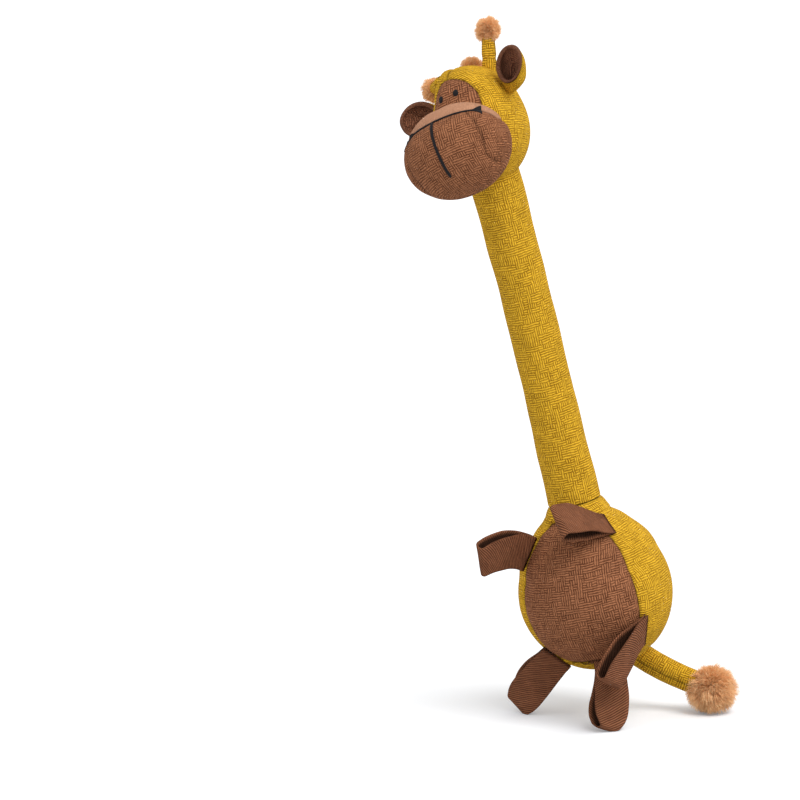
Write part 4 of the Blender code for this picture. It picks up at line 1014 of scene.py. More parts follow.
# Body
def body_outline():
    """Radius and height down the body's outline, evenly spaced, and the length along it."""
    ball_radius = BODY_RADIUS * math.cos(SHOULDER_LATITUDE)
    ball_height = BODY_RADIUS * math.sin(SHOULDER_LATITUDE)
    line = [(NECK_RADIUS, NECK_SEAM_HEIGHT)]
    for across, down in SHOULDER_SHARES:
        radius = NECK_RADIUS + (ball_radius - NECK_RADIUS) * across
        line.append((radius, NECK_SEAM_HEIGHT + (ball_height - NECK_SEAM_HEIGHT) * down))
    for latitude in np.linspace(SHOULDER_LATITUDE, -math.pi / 2, 80):
        line.append((BODY_RADIUS * math.cos(latitude), BODY_RADIUS * math.sin(latitude)))
    line = np.array(line)
    even = np.linspace(0, line_lengths(line)[-1], 401)
    spaced = line_at(line, even)
    window = max(3, int(OUTLINE_SMOOTHING / (even[1] - even[0])) | 1)
    reach = window // 2
    smooth = spaced.copy()
    for number in range(len(spaced)):
        part = min(reach, number, len(spaced) - 1 - number)
        smooth[number] = spaced[number - part:number + part + 1].mean(0)
    return smooth[:, 0], smooth[:, 1], even


OUTLINE_RADIUS, OUTLINE_HEIGHT, OUTLINE_LENGTH = body_outline()


def body_spots(turn, length):
    """World points on the body at angles round it and lengths down its outline."""
    radius = np.interp(length, OUTLINE_LENGTH, OUTLINE_RADIUS)
    height = np.interp(length, OUTLINE_LENGTH, OUTLINE_HEIGHT)
    low = np.clip(-height / BODY_RADIUS, 0, 1)
    radius = radius * (1 - np.maximum(0, -np.sin(turn)) * (BODY_RIGHT_TRIM + BODY_LOW_TRIM * low))
    local = np.stack((radius * np.sin(turn), -radius * np.cos(turn), height), -1)
    return BODY_CENTRE + local @ BODY_TURN.T


def length_at_height(height):
    """The length down the outline at a height."""
    return float(np.interp(-height, -OUTLINE_HEIGHT, OUTLINE_LENGTH))


def belly_edge():
    """Lengths down the outline and half angles along the belly panel's seam, evenly spaced."""
    top = length_at_height(BELLY_TOP_HEIGHT)
    low = length_at_height(BODY_RADIUS * math.sin(BELLY_LOW_LATITUDE))
    turn = np.linspace(-math.pi / 2, math.pi / 2, 1441)
    sine, cosine = np.sin(turn), np.cos(turn)
    length = (top + low) / 2 + (low - top) / 2 * np.sign(sine) * abs(sine) ** (2 / BELLY_SQUARENESS)
    angle = BELLY_HALF_ANGLE * np.maximum(cosine, 0) ** (2 / BELLY_SQUARENESS)
    radius = np.interp(length, OUTLINE_LENGTH, OUTLINE_RADIUS)
    steps = np.hypot(np.diff(length), np.diff(angle) * radius[:-1])
    along = summed(steps)
    even = np.linspace(0, along[-1], int(along[-1] / CELL) + 1)
    return np.interp(even, along, length), np.interp(even, along, angle)


def body_panel(lengths, starts, ends, middle):
    """A grid of points over a panel, and its flat cloth map about its middle line."""
    columns = int(np.max(abs(ends - starts)) * BODY_RADIUS / CELL) + 1
    share = np.linspace(0, 1, columns)
    turn = starts[:, None] + (ends - starts)[:, None] * share
    length = np.repeat(lengths[:, None], columns, 1)
    radius = np.interp(length, OUTLINE_LENGTH, OUTLINE_RADIUS)
    cloth = np.stack(((turn - middle) * radius, length), -1)
    return body_spots(turn, length), cloth


def build_body():
    """The belly panel and the two back panels, and what the toy holds inside."""
    lengths, half_angles = belly_edge()
    above = np.linspace(0, lengths[0], int(lengths[0] / CELL) + 2)[:-1]
    left = OUTLINE_LENGTH[-1] - lengths[-1]
    below = np.linspace(lengths[-1], OUTLINE_LENGTH[-1], int(left / CELL) + 2)[1:]
    back_lengths = np.concatenate((above, lengths, below))
    back_starts = np.concatenate((0 * above, half_angles, 0 * below))
    half_turn = np.full(len(back_lengths), math.pi)
    lines = [
        body_spots(half_angles, lengths),
        body_spots(-half_angles, lengths),
        body_spots(half_turn, back_lengths),
        body_spots(0 * below, below),
        body_spots(np.linspace(-math.pi, math.pi, 200), np.zeros(200)),
    ]
    if len(above) > 2:
        lines.append(body_spots(0 * above, above))
    tree = seam_tree(lines)
    belly_spots, belly_cloth = body_panel(lengths, -half_angles, half_angles, 0.0)
    panels = {"belly": (belly_spots, belly_cloth, "brown_cloth", ("belly_panel",))}
    for side, sign in (("left", 1), ("right", -1)):
        starts, ends = sign * back_starts, sign * half_turn
        spots, cloth = body_panel(back_lengths, starts, ends, sign * BACK_MIDDLE_ANGLE)
        nodes = (f"back_panel_{side}", "body_stuffing") if side == "left" else (f"back_panel_{side}",)
        panels[f"back_{side}"] = (spots, cloth, "mustard_cloth", nodes)
    filled = dict(zip(panels, stuffed([panel[0] for panel in panels.values()], tree, BODY_CENTRE)))
    for name, (_, cloth, finish, nodes) in panels.items():
        spots = filled[name]
        normals = faced(spots, grid_normals(spots), BODY_CENTRE)
        spots, cloth = sewn(spots, cloth, normals, tree)
        made = grid_object(name, [(spots, cloth, False)], BODY_CENTRE)
        dress(made, finish, "torso", nodes)
    hidden = {
        "squeaker_case": "squeaker_plastic",
        "squeaker_reed": "squeaker_plastic",
        "weight_pouch": "bead_pouch",
    }
    for name, finish in hidden.items():
        carried = frame["nodes"][name].data
        carried.materials.clear()
        carried.materials.append(MATERIALS[finish])


# Neck
NECK_JOINTS = [joint for joint in frame["joints"] if joint["name"].startswith("neck_bend")]
NECK_PIVOTS = [float((joint["pos_m"] - neck_place(0.0)).dot(neck_heading(0.0))) for joint in NECK_JOINTS]


def build_neck():
    """The neck's tube in one piece for each joint that it bends at, meeting without a step."""
    top = NECK_PIVOTS[-1] + NECK_RADIUS + NECK_INTO_HEAD
    middles = [(low + high) / 2 for low, high in zip(NECK_PIVOTS, NECK_PIVOTS[1:])]
    rows = int(top / CELL)
    step = top / rows
    cuts = [0, *[int(round(middle / step)) for middle in middles], rows]
    columns = int(math.tau * NECK_RADIUS / CELL)
    distances = np.linspace(0, top, rows + 1)
    swell_places = np.linspace(0, NECK_PIVOTS[-1] + NECK_RADIUS, len(NECK_SWELL_SHARES))
    shares = np.interp(distances, swell_places, NECK_SWELL_SHARES)
    turns = np.linspace(-math.pi, math.pi, columns + 1)
    centres = [neck_place(distance) for distance in distances]
    axes = np.array([axes_of(neck_heading(distance), FRONT) for distance in distances])
    radii = NECK_RADIUS * shares
    spots, normals, cloth = tube(turns, centres, -axes[..., 1], axes[..., 0], radii, NECK_RADIUS, distances)
    tree = seam_tree([spots[:, 0]])
    spots, cloth = sewn(spots, cloth, normals, tree, lump=NECK_WAVE_DEPTH, pucker=NECK_WAVE_DEPTH)
    whole = grid_object("neck_whole", [(spots, cloth, True)], neck_place(top / 2))
    directions = {}
    for vertex in whole.data.vertices:
        directions[tuple(round(part, 6) for part in vertex.co)] = vertex.normal.copy()
    bpy.data.objects.remove(whole)
    for number, (low, high) in enumerate(zip(cuts, cuts[1:])):
        grid = (spots[low:high + 1], cloth[low:high + 1], True)
        made = grid_object(f"neck_cover_{number + 1}", [grid], neck_place((low + high) / 2 * step))
        known = [directions[tuple(round(part, 6) for part in vertex.co)] for vertex in made.data.vertices]
        made.data.normals_split_custom_set_from_vertices(known)
        nodes = ["neck_tube"]
        if number < len(NECK_PIVOTS) - 1:
            nodes.append(f"neck_stuffing_{number + 1}")
        dress(made, "mustard_cloth", None, nodes)
        start = neck_place(low * step)
        end = neck_place(min(high * step, NECK_PIVOTS[-1] + NECK_RADIUS))
        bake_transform(made)


# Head
def squareness_at(directions):
    """How square the skull is along directions."""
    rise = np.maximum(0, unit(directions)[..., 2])
    return SKULL_LOW_SQUARENESS + (SKULL_TOP_SQUARENESS - SKULL_LOW_SQUARENESS) * rise**2


def top_lift(local):
    """How far the skull's top is raised on its right and lowered on its left, as a share of its height."""
    slope = SKULL_TOP_RISE - SKULL_TOP_SLOPE * local[..., :1]
    return slope * np.maximum(0, local[..., 2:]) ** SKULL_TOP_POWER


def right_taper(local):
    """How much narrower the skull's right side gets towards its top."""
    rise = np.maximum(0, local[..., 2:]) ** SKULL_TAPER_POWER
    return np.where(local[..., :1] < 0, 1 - SKULL_RIGHT_TAPER * rise, 1.0)


def skull_spots(directions):
    """World points on the skull along directions given as shares of its half sizes."""
    power = squareness_at(directions)[..., None]
    total = np.sum(abs(directions) ** power, -1, keepdims=True)
    local = directions / total ** (1 / power)
    parts = (local[..., :1] * right_taper(local), local[..., 1:2], local[..., 2:] + top_lift(local))
    local = np.concatenate(parts, -1)
    return SKULL_CENTRE + (local * SKULL_SIZES) @ HEAD_TURN.T


def patch_directions(across, height):
    """Directions of the skull's front points at sideways and upward places."""
    share_x = (across + PATCH_SHIFT) / SKULL_SIZES[0]
    share_z = height / SKULL_SIZES[2]
    power = np.full(np.shape(across), SKULL_LOW_SQUARENESS)
    for _ in range(8):
        left = 1 - abs(share_x) ** power - abs(share_z) ** power
        ahead = np.maximum(left, 1e-6) ** (1 / power)
        directions = np.stack((share_x, -ahead, share_z), -1)
        power = squareness_at(directions)
    return directions


def patch_edge(angles):
    """Directions round the face patch's seam."""
    return patch_directions(
        PATCH_HALF_WIDTH * np.cos(angles), PATCH_HEIGHT + PATCH_HALF_HEIGHT * np.sin(angles)
    )


def muzzle_spots(turn, latitude, lift=0.0):
    """World points over the muzzle at angles round and above it, and their outward directions."""
    level = np.cos(latitude)
    ball = np.stack((np.sin(turn) * level, -np.cos(turn) * level, np.sin(latitude)), -1)
    slope = unit(ball / MUZZLE_SIZES)
    local = ball * MUZZLE_SIZES + slope * lift
    return MUZZLE_CENTRE + local @ HEAD_TURN.T, slope @ HEAD_TURN.T


def skull_depth(points):
    """Shares of the way out to the skull's surface, over 1 outside it."""
    local = (points - SKULL_CENTRE) @ HEAD_TURN / SKULL_SIZES
    parts = (local[..., :1] / right_taper(local), local[..., 1:2], local[..., 2:] - top_lift(local))
    local = np.concatenate(parts, -1)
    power = squareness_at(local)
    return np.sum(abs(local) ** power[..., None], -1) ** (1 / power)


def muzzle_join():
    """The line where the muzzle is sewn to the skull, as points."""
    found = []
    for number in range(240):
        turn = math.tau * number / 240
        ring = []
        for step in range(1, 360):
            swing = math.pi * step / 360
            aside = math.sin(swing)
            ball = np.array((aside * math.cos(turn), -math.cos(swing), aside * math.sin(turn)))
            ring.append(MUZZLE_CENTRE + HEAD_TURN @ (ball * MUZZLE_SIZES))
        depths = skull_depth(np.array(ring))
        inside = np.nonzero(depths < 1)[0]
        if len(inside):
            found.append(ring[inside[0]])
    found.append(found[0])
    return np.array(found)


def build_head():
    """The skull's two panels and the face patch, with the seams round them."""
    angles = np.linspace(0, math.tau, 241)
    edge = skull_spots(patch_edge(angles))
    back_pole = np.array((0.0, 1.0, 0.0))
    rows = 96
    crest = []
    for start in (math.pi / 2, -math.pi / 2):
        first = patch_edge(np.array([start]))[0]
        crest.append(np.array([slide(first, back_pole, share) for share in np.linspace(0, 1, rows)]))
    tree = seam_tree([edge, *[skull_spots(line) for line in crest], muzzle_join()])
    for side, sign in (("left", 1), ("right", -1)):
        columns = 84
        turns = np.linspace(-math.pi / 2, math.pi / 2, columns)
        across = patch_edge(turns if sign > 0 else math.pi - turns)
        directions = np.zeros((rows, columns, 3))
        for column in range(columns):
            for row, share in enumerate(np.linspace(0, 1, rows)):
                directions[row, column] = slide(across[column], back_pole, share)
        spots = skull_spots(directions)
        around = np.arctan2(directions[..., 0], -directions[..., 1])
        rise = np.arcsin(np.clip(unit(directions)[..., 2], -1, 1))
        middle = sign * HEAD_MIDDLE_ANGLE
        cloth = np.stack(((around - middle) * np.cos(rise) * SKULL_SIZES[1], rise * SKULL_SIZES[2]), -1)
        spots = stuffed([spots], tree, SKULL_CENTRE)[0]
        normals = faced(spots, grid_normals(spots), SKULL_CENTRE)
        spots, cloth = sewn(spots, cloth, normals, tree)
        made = grid_object(f"head_{side}", [(spots, cloth, False)], SKULL_CENTRE)
        nodes = (f"head_panel_{side}", "head_stuffing") if side == "left" else (f"head_panel_{side}",)
        dress(made, "mustard_cloth", "head", nodes)
    shares = np.linspace(0.002, 1, 22)
    turns = np.linspace(0, math.tau, 121)
    across = PATCH_HALF_WIDTH * np.outer(shares, np.cos(turns))
    height = PATCH_HEIGHT + PATCH_HALF_HEIGHT * np.outer(shares, np.sin(turns))
    spots = skull_spots(patch_directions(across, height))[:, :-1]
    normals = faced(spots, grid_normals(spots, True), SKULL_CENTRE)
    spots, cloth = sewn(spots, np.stack((across, height), -1), normals, tree)
    made = grid_object("face", [(spots, cloth, True)], SKULL_CENTRE)
    return dress(made, "brown_cloth", "head", ("face_patch",))


def nose_latitude(turn):
    """How high the nose seam runs at angles round the muzzle: level in front, lower at its sides."""
    return NOSE_SEAM_LATITUDE - NOSE_SEAM_DROP * np.minimum(1, abs(turn) / (math.pi / 2)) ** NOSE_SEAM_POWER


def build_muzzle():
    """The woven muzzle with its darts, and the smooth bridge above the nose seam."""
    circle = np.linspace(-math.pi, math.pi, 241)
    lines = [muzzle_spots(circle, nose_latitude(circle))[0], muzzle_join()]
    steps = np.linspace(0, len(DART_TURNS) - 1, 60)
    dart_turns = np.interp(steps, range(len(DART_TURNS)), DART_TURNS)
    dart_latitudes = np.interp(steps, range(len(DART_TURNS)), DART_LATITUDES)
    for sign in (1, -1):
        lines.append(muzzle_spots(sign * dart_turns, dart_latitudes)[0])
    tree = seam_tree(lines)
    halves = {
        "muzzle": (-math.pi / 2, None, "brown_cloth", ("muzzle_panel", "muzzle_stuffing")),
        "bridge": (None, math.pi / 2, "brown_smooth", ("muzzle_bridge",)),
    }
    made = {}
    for name, (low, high, finish, nodes) in halves.items():
        columns = 160
        turn = np.linspace(-math.pi, math.pi, columns + 1)
        seam = nose_latitude(turn)
        start = seam if low is None else low + 0 * turn
        end = seam if high is None else high + 0 * turn
        rows = int(np.max(end - start) * MUZZLE_SIZES[2] / CELL) + 2
        latitude = start + (end - start) * np.linspace(0, 1, rows)[:, None]
        turn = np.repeat(turn[None, :], rows, 0)
        spots, normals = muzzle_spots(turn, latitude)
        cloth = np.stack((turn * np.cos(latitude) * MUZZLE_SIZES[0], latitude * MUZZLE_SIZES[2]), -1)
        spots = stuffed([spots], tree, MUZZLE_CENTRE)[0]
        spots, cloth = sewn(spots[:, :-1], cloth, normals[:, :-1], tree, depth=MUZZLE_SEAM_DEPTH)
        piece = grid_object(name, [(spots, cloth, True)], MUZZLE_CENTRE)
        trim_inside(piece)
        made[name] = dress(piece, finish, "head", nodes)
    return made


def trim_inside(made):
    """Takes away what of a muzzle piece lies well inside the skull."""
    with edited(made.data) as work:
        inside = skull_depth(np.array([vertex.co for vertex in work.verts])) < MUZZLE_TRIM_DEPTH
        hidden = [vertex for vertex, deep in zip(work.verts, inside) if deep]
        bmesh.ops.delete(work, geom=hidden, context="VERTS")


def surface_of(*pieces):
    """The facets of finished pieces, to lay stitches on."""
    points, faces = [], []
    for made in pieces:
        first = len(points)
        points += [vertex.co.copy() for vertex in made.data.vertices]
        faces += [tuple(first + index for index in face.vertices) for face in made.data.polygons]
    return BVHTree.FromPolygons(points, faces)


def laid_on(surface, spot, outward):
    """A point moved along its outward line onto a surface."""
    start = Vector(spot) + Vector(outward) * STITCH_LAY_REACH
    hit = surface.ray_cast(start, -Vector(outward), 2 * STITCH_LAY_REACH)
    return np.array(hit[0]) if hit[0] is not None else np.asarray(spot)


def stitched_line(name, surface, spots, outward, widths, rise):
    """A raised line of satin stitch along spots, laid on a surface."""
    spots = np.array([laid_on(surface, spot, way) for spot, way in zip(spots, outward)])
    along = np.gradient(spots, axis=0)
    side = unit(np.cross(along, outward))
    section = np.linspace(-math.pi / 2, math.pi / 2, 9)
    length = line_lengths(spots)
    rows = []
    cloth = []
    for number, spot in enumerate(spots):
        uneven = THREAD_WAVE * noise.noise(Vector((length[number] / THREAD_PITCH, 3.1, 0.0)))
        half = widths[number] / 2 * (1 + uneven)
        way = outward[number]
        row = []
        for angle in section:
            base = laid_on(surface, spot + side[number] * half * math.sin(angle), way)
            row.append(base + way * rise * max(0.0, math.cos(angle)) ** THREAD_ROUND_POWER)
        row.insert(0, row[0] - way * THREAD_SINK)
        row.append(row[-1] - way * THREAD_SINK)
        rows.append(row)
        cloth.append([(column * THREAD_MAP_STEP, length[number]) for column in range(len(row) + 1)])
    rows = np.array(rows)
    for _ in range(STITCH_SMOOTHING):
        rows[1:-1] = (rows[:-2] + 2 * rows[1:-1] + rows[2:]) / 4
    made = grid_object(name, [(rows, np.array(cloth), True)])
    return closed_ends(made)


def closed_ends(made):
    """Fills a piece's open ends and turns its faces outward."""
    with edited(made.data) as work:
        bmesh.ops.holes_fill(work, edges=[edge for edge in work.edges if edge.is_boundary], sides=0)
        bmesh.ops.recalc_face_normals(work, faces=work.faces)
    made.data.shade_smooth()
    return made


def build_stitches(surface, face):
    """The eyes, the mouth line, and the nose line with a corner at each end."""
    latitudes = np.linspace(MOUTH_HIGH_ANGLE, MOUTH_LOW_ANGLE, 90)
    spots, outward = muzzle_spots(0 * latitudes, latitudes)
    steps = np.arange(len(latitudes))
    ends = np.minimum(1, np.minimum(steps, steps[::-1]) / MOUTH_END_STEPS + MOUTH_END_SHARE)
    mouth = stitched_line("mouth", surface, spots, outward, MOUTH_LINE_WIDTH * ends, LINE_RISE)
    dress(mouth, "black_thread", "head", ("mouth_stitch",))
    reach = NOSE_LINE_HALF_ANGLE + NOSE_CORNER_ANGLE
    turns = np.linspace(-reach, reach, 150)
    past = np.clip((abs(turns) - NOSE_LINE_HALF_ANGLE) / NOSE_CORNER_ANGLE, 0, 1)
    widths = NOSE_LINE_WIDTH + (NOSE_CORNER_HEIGHT - NOSE_LINE_WIDTH) * past**NOSE_CORNER_POWER
    spots, outward = muzzle_spots(turns, nose_latitude(turns))
    nose = stitched_line("nose", surface, spots, outward, widths, LINE_RISE)
    dress(nose, "black_thread", "head", ("nose_stitch",))
    for side, sign in (("left", 1), ("right", -1)):
        centre = skull_spots(patch_directions(np.array([sign * EYE_SPREAD]), np.array([EYE_HEIGHT])))[0]
        hit = face.find_nearest(Vector(centre))
        place, outward = np.array(hit[0]), np.array(hit[1])
        outward = outward if outward.dot(centre - SKULL_CENTRE) > 0 else -outward
        build_eye(side, place, outward)


def build_eye(side, place, outward):
    """An oval eye of satin stitch, domed."""
    axes = axes_of(outward, HEAD_TURN @ UP)
    shares = np.linspace(0.01, 1, 9)
    turns = np.linspace(0, math.tau, 33)
    x = np.outer(shares, np.cos(turns)) * EYE_HALF_WIDTH
    y = np.outer(shares, np.sin(turns)) * EYE_HALF_HEIGHT
    z = np.repeat((EYE_RISE * np.sqrt(np.maximum(0, 1 - shares**2)))[:, None], len(turns), 1)
    spots = place + np.stack((x, y, z), -1)[:, :-1] @ axes.T
    made = grid_object(f"eye_{side}_stitch", [(spots, np.stack((x, y), -1), True)], place - outward)
    dress(made, "black_thread", "head", (f"eye_{side}",))


# Ears
def ear_frame(side):
    """The ear's pivot and its axes: aside, back and along it."""
    spec = EARS[side]
    pivot, _ = hinge(f"{side}_ear")
    return pivot, axes_of(HEAD_TURN @ spec["axis"], HEAD_TURN @ spec["facing"])


def ear_ring(side, angle, level, columns=56):
    """One ring of points round the cup, at an angle from its bottom and a level outside its middle skin."""
    spec = EARS[side]
    pivot, axes = ear_frame(side)
    tilt = spec["opening_tilt"]
    opening = np.array((0.0, -math.cos(tilt), math.sin(tilt)))
    aside = np.array((1.0, 0.0, 0.0))
    over = np.cross(opening, aside)
    turns = np.linspace(0, math.tau, columns + 1)[:-1]
    ring = np.outer(np.cos(turns), aside) + np.outer(np.sin(turns), over)
    ball = ring * math.sin(angle) - opening * math.cos(angle)
    half = np.array((spec["sizes"][0] / 2, spec["sizes"][1], spec["sizes"][2] / 2))
    waist = 1 - spec["waist"] * np.maximum(0, -ball[:, 2]) ** 2
    narrow = np.stack((waist, waist, np.ones(columns)), -1)
    outward = unit(ball / half)
    local = ball * half * narrow + outward * level
    off_line = (local[:, 0] - EAR_CREASE_SHARE * spec["sizes"][0]) / EAR_CREASE_WIDTH
    fading = max(0.0, math.cos(math.pi / 2 * angle / spec["rim_angle"]))
    local[:, 1] += EAR_CREASE_DEPTH * np.exp(-(off_line**2)) * fading
    local[:, 2] += half[2] - spec["sink"]
    cloth = np.stack((np.cos(turns), np.sin(turns)), -1) * angle * EAR_CLOTH_RADIUS
    return pivot + local @ axes.T, outward @ axes.T, np.vstack((cloth, cloth[:1]))


def ear_rim(side, angle, low, high, steps=11):
    """Rings of the roll that wraps over the cup's edge, from its inside to its outside."""
    middle, outward, cloth = ear_ring(side, angle, (low + high) / 2)
    before, _, _ = ear_ring(side, angle - 0.02, (low + high) / 2)
    onward = unit(middle - before)
    reach = (high - low) / 2 + EAR_RIM_BULGE
    rings, maps = [], []
    for step in range(steps):
        turn = math.pi * step / (steps - 1)
        rings.append(middle + reach * (onward * math.sin(turn) - outward * math.cos(turn)))
        maps.append(cloth * (1 + 0.04 * step))
    return rings, maps


def build_ears():
    """Each ear: a mustard cup, and a brown lining that rolls over its edge."""
    for side, spec in EARS.items():
        rim = spec["rim_angle"]
        inside = -SEAM_GAP - EAR_LINING_THICKNESS
        rings, maps = [], []
        for angle in np.linspace(EAR_FIRST_ANGLE, rim, EAR_INNER_RINGS):
            spots, _, cloth = ear_ring(side, angle, inside)
            rings.append(spots)
            maps.append(cloth)
        roll, roll_maps = ear_rim(side, rim, inside, EAR_BACK_THICKNESS)
        angles = np.linspace(rim, EAR_FIRST_ANGLE, EAR_OUTER_RINGS)
        under = [ear_ring(side, angle, -SEAM_GAP) for angle in angles]
        rings = [*rings, *roll, *[spots for spots, _, _ in under]]
        maps = [*maps, *roll_maps, *[cloth for _, _, cloth in under]]
        rough = waved(np.array(rings), f"{side}_lining")
        made = closed_ends(grid_object(f"ear_{side}_lining_cloth", [(rough, np.array(maps), True)]))
        dress(made, "ear_lining", f"{side}_ear", (f"ear_{side}_lining",))
        back_rim = rim - EAR_BACK_RIM_ANGLE
        angles = np.linspace(EAR_FIRST_ANGLE, back_rim, EAR_INNER_RINGS)
        over = [ear_ring(side, angle, EAR_BACK_THICKNESS) for angle in angles]
        angles = np.linspace(back_rim, EAR_FIRST_ANGLE, EAR_OUTER_RINGS)
        under = [ear_ring(side, angle, 0.0) for angle in angles]
        rough = waved(np.array([spots for spots, _, _ in over + under]), f"{side}_lining")
        cloth = np.array([cloth for _, _, cloth in over + under])
        made = closed_ends(grid_object(f"ear_{side}_back_cloth", [(rough, cloth, True)]))
        dress(made, "mustard_cloth", f"{side}_ear", (f"ear_{side}_back",))


# Fur
def fur_ball(name, centre, up, radius, body, nodes, strands, seed):
    """A ball of clumped, slightly wavy strands, and the knitted ground that they grow from, darkened as
    painted shade.
    """
    chance = np.random.default_rng(seed)
    core = radius * FUR_CORE_SHARE
    numbers = np.arange(strands) + 0.5
    height = 1 - 2 * numbers / strands
    turn = math.pi * (1 + math.sqrt(5)) * numbers
    level = np.sqrt(1 - height**2)
    roots = np.stack((level * np.cos(turn), level * np.sin(turn), height), -1)
    roots = unit(roots + chance.normal(0, FUR_ROOT_CHANCE, roots.shape))
    clumps = max(8, strands // STRANDS_PER_CLUMP)
    picks = roots[chance.choice(strands, clumps, replace=False)]
    lean = unit(picks + chance.normal(0, FUR_LEAN_CHANCE, picks.shape))
    reach = chance.uniform(*FUR_CLUMP_REACHES, clumps)
    nearest = np.argmax(roots @ picks.T, 1)
    out, aside, upward = FUR_AIM_SHARES
    stray = chance.normal(0, FUR_AIM_CHANCE, roots.shape)
    aim = unit(roots * out + lean[nearest] * aside + up * upward + stray)
    length = (radius * FUR_TIP_SHARE - core) * chance.uniform(*FUR_STRAND_LENGTHS, strands) * reach[nearest]
    width = FUR_WIDTH + FUR_WIDTH_CHANCE * chance.random(strands)
    side = unit(np.cross(aim, chance.normal(0, 1, aim.shape)))
    wave = unit(np.cross(aim, side)) * chance.normal(0, FUR_WAVE_CHANCE, (strands, 1))
    shares = np.linspace(0, 1, len(FUR_TAPERS))
    lines = []
    for share in shares:
        way = roots * (1 - FUR_BEND_SHARE * share) + aim * FUR_BEND_SHARE * share
        bend = way * share + FUR_DROOP * share**2 + wave * math.sin(math.pi * share)
        lines.append(roots * core + bend * length[:, None])
    lines = np.array(lines)
    tight = np.linalg.norm(lines, axis=-1, keepdims=True)
    lines = lines * np.minimum(1, radius * FUR_LIMIT_SHARE / np.maximum(tight, 1e-9))
    lines[..., 2] = np.maximum(lines[..., 2], FUR_FLOOR_GAP - centre[2])
    offsets = [side * (width * taper)[:, None] for taper in FUR_TAPERS]
    points = [line + sign * offset for line, offset in zip(lines, offsets) for sign in (-1, 1)]
    own = chance.random(strands)
    ids = np.arange(strands)
    faces, cloth = [], []
    for step, ends in enumerate(zip(shares, shares[1:])):
        low, high = 2 * step * strands, 2 * (step + 1) * strands
        faces.append(np.stack((low + ids, low + strands + ids, high + strands + ids, high + ids), -1))
        corner = np.stack([np.stack((own, np.full(strands, ends[end])), -1) for end in (0, 0, 1, 1)], 1)
        cloth.append(corner.reshape(-1, 2))
    mesh = bpy.data.meshes.new(name)
    mesh.from_pydata((centre + np.concatenate(points)).tolist(), [], np.concatenate(faces).tolist())
    add_maps(mesh, np.concatenate(cloth))
    mesh.shade_smooth()
    dress(placed(name, mesh), "peach_fur", body, nodes)
    rings = np.linspace(-math.pi / 2, math.pi / 2, 17)[:, None]
    around = np.linspace(0, math.tau, 29)[None, :]
    ball = np.cos(rings)[..., None] * np.stack((np.cos(around), np.sin(around), 0 * around), -1)
    ball[..., 2] = np.sin(rings)
    grid = (centre + ball[:, :-1] * core * FUR_GROUND_SHARE, ball[..., :2] * core, True)
    ground = grid_object(f"{name}_ground", [grid], centre)
    dress(ground, "peach_ground", body, ())


# Horns
def build_horns():
    """Two horns of rolled cloth, each with a ball of fur, and a third ball on the crown."""
    for seed, side in ((11, "left"), (12, "right")):
        pivot, _ = hinge(f"{side}_horn")
        axis = unit(HEAD_TURN @ HORN_AXIS[side])
        axes = axes_of(axis, square_to(FRONT, axis))
        rows, columns = 24, 40
        distances = np.linspace(-HORN_ROOT_SINK, HORN_LENGTH, rows)
        shares = np.maximum(0, distances) / HORN_LENGTH
        radii = HORN_ROOT_RADIUS + (HORN_TIP_RADIUS - HORN_ROOT_RADIUS) * shares
        radii *= 1 - HORN_PINCH * np.exp(-((distances / HORN_PINCH_WIDTH) ** 2))
        turns = np.linspace(0, math.tau, columns + 1)
        centres = pivot + axis * distances[:, None]
        acrosses, overs = ([axes[:, number]] * rows for number in (0, 1))
        spots, normals, cloth = tube(turns, centres, acrosses, overs, radii, HORN_ROOT_RADIUS, distances)
        tree = seam_tree([spots[:, 0]])
        spots, cloth = sewn(spots, cloth, normals, tree, depth=HORN_SEAM_DEPTH, lump=HORN_LUMP_DEPTH)
        made = closed_ends(grid_object(f"horn_{side}_cloth", [(spots, cloth, True)]))
        dress(made, "mustard_cloth", f"{side}_horn", (f"horn_{side}",))
        centre = pivot + axis * (HORN_POMPOM_PLACE + HORN_POMPOM_RADIUS)
        nodes = (f"horn_pompom_{side}",)
        fur_ball(f"fur_horn_{side}", centre, axis, HORN_POMPOM_RADIUS, f"{side}_horn", nodes, 6000, seed)
    spot = skull_spots(np.array(CROWN_PLACE_SHARES))
    normal = unit(spot - SKULL_CENTRE)
    centre = spot + normal * (CROWN_POMPOM_RADIUS - CROWN_POMPOM_SINK)
    fur_ball("fur_crown", centre, normal, CROWN_POMPOM_RADIUS, "head", ("crown_pompom",), 5000, 31)


# Straps
def swell(share):
    """How far a strap's two layers have opened at a share of its length."""
    return math.sin(math.pi / 2 * min(1.0, share / STRAP_OPEN_SHARE)) ** 2


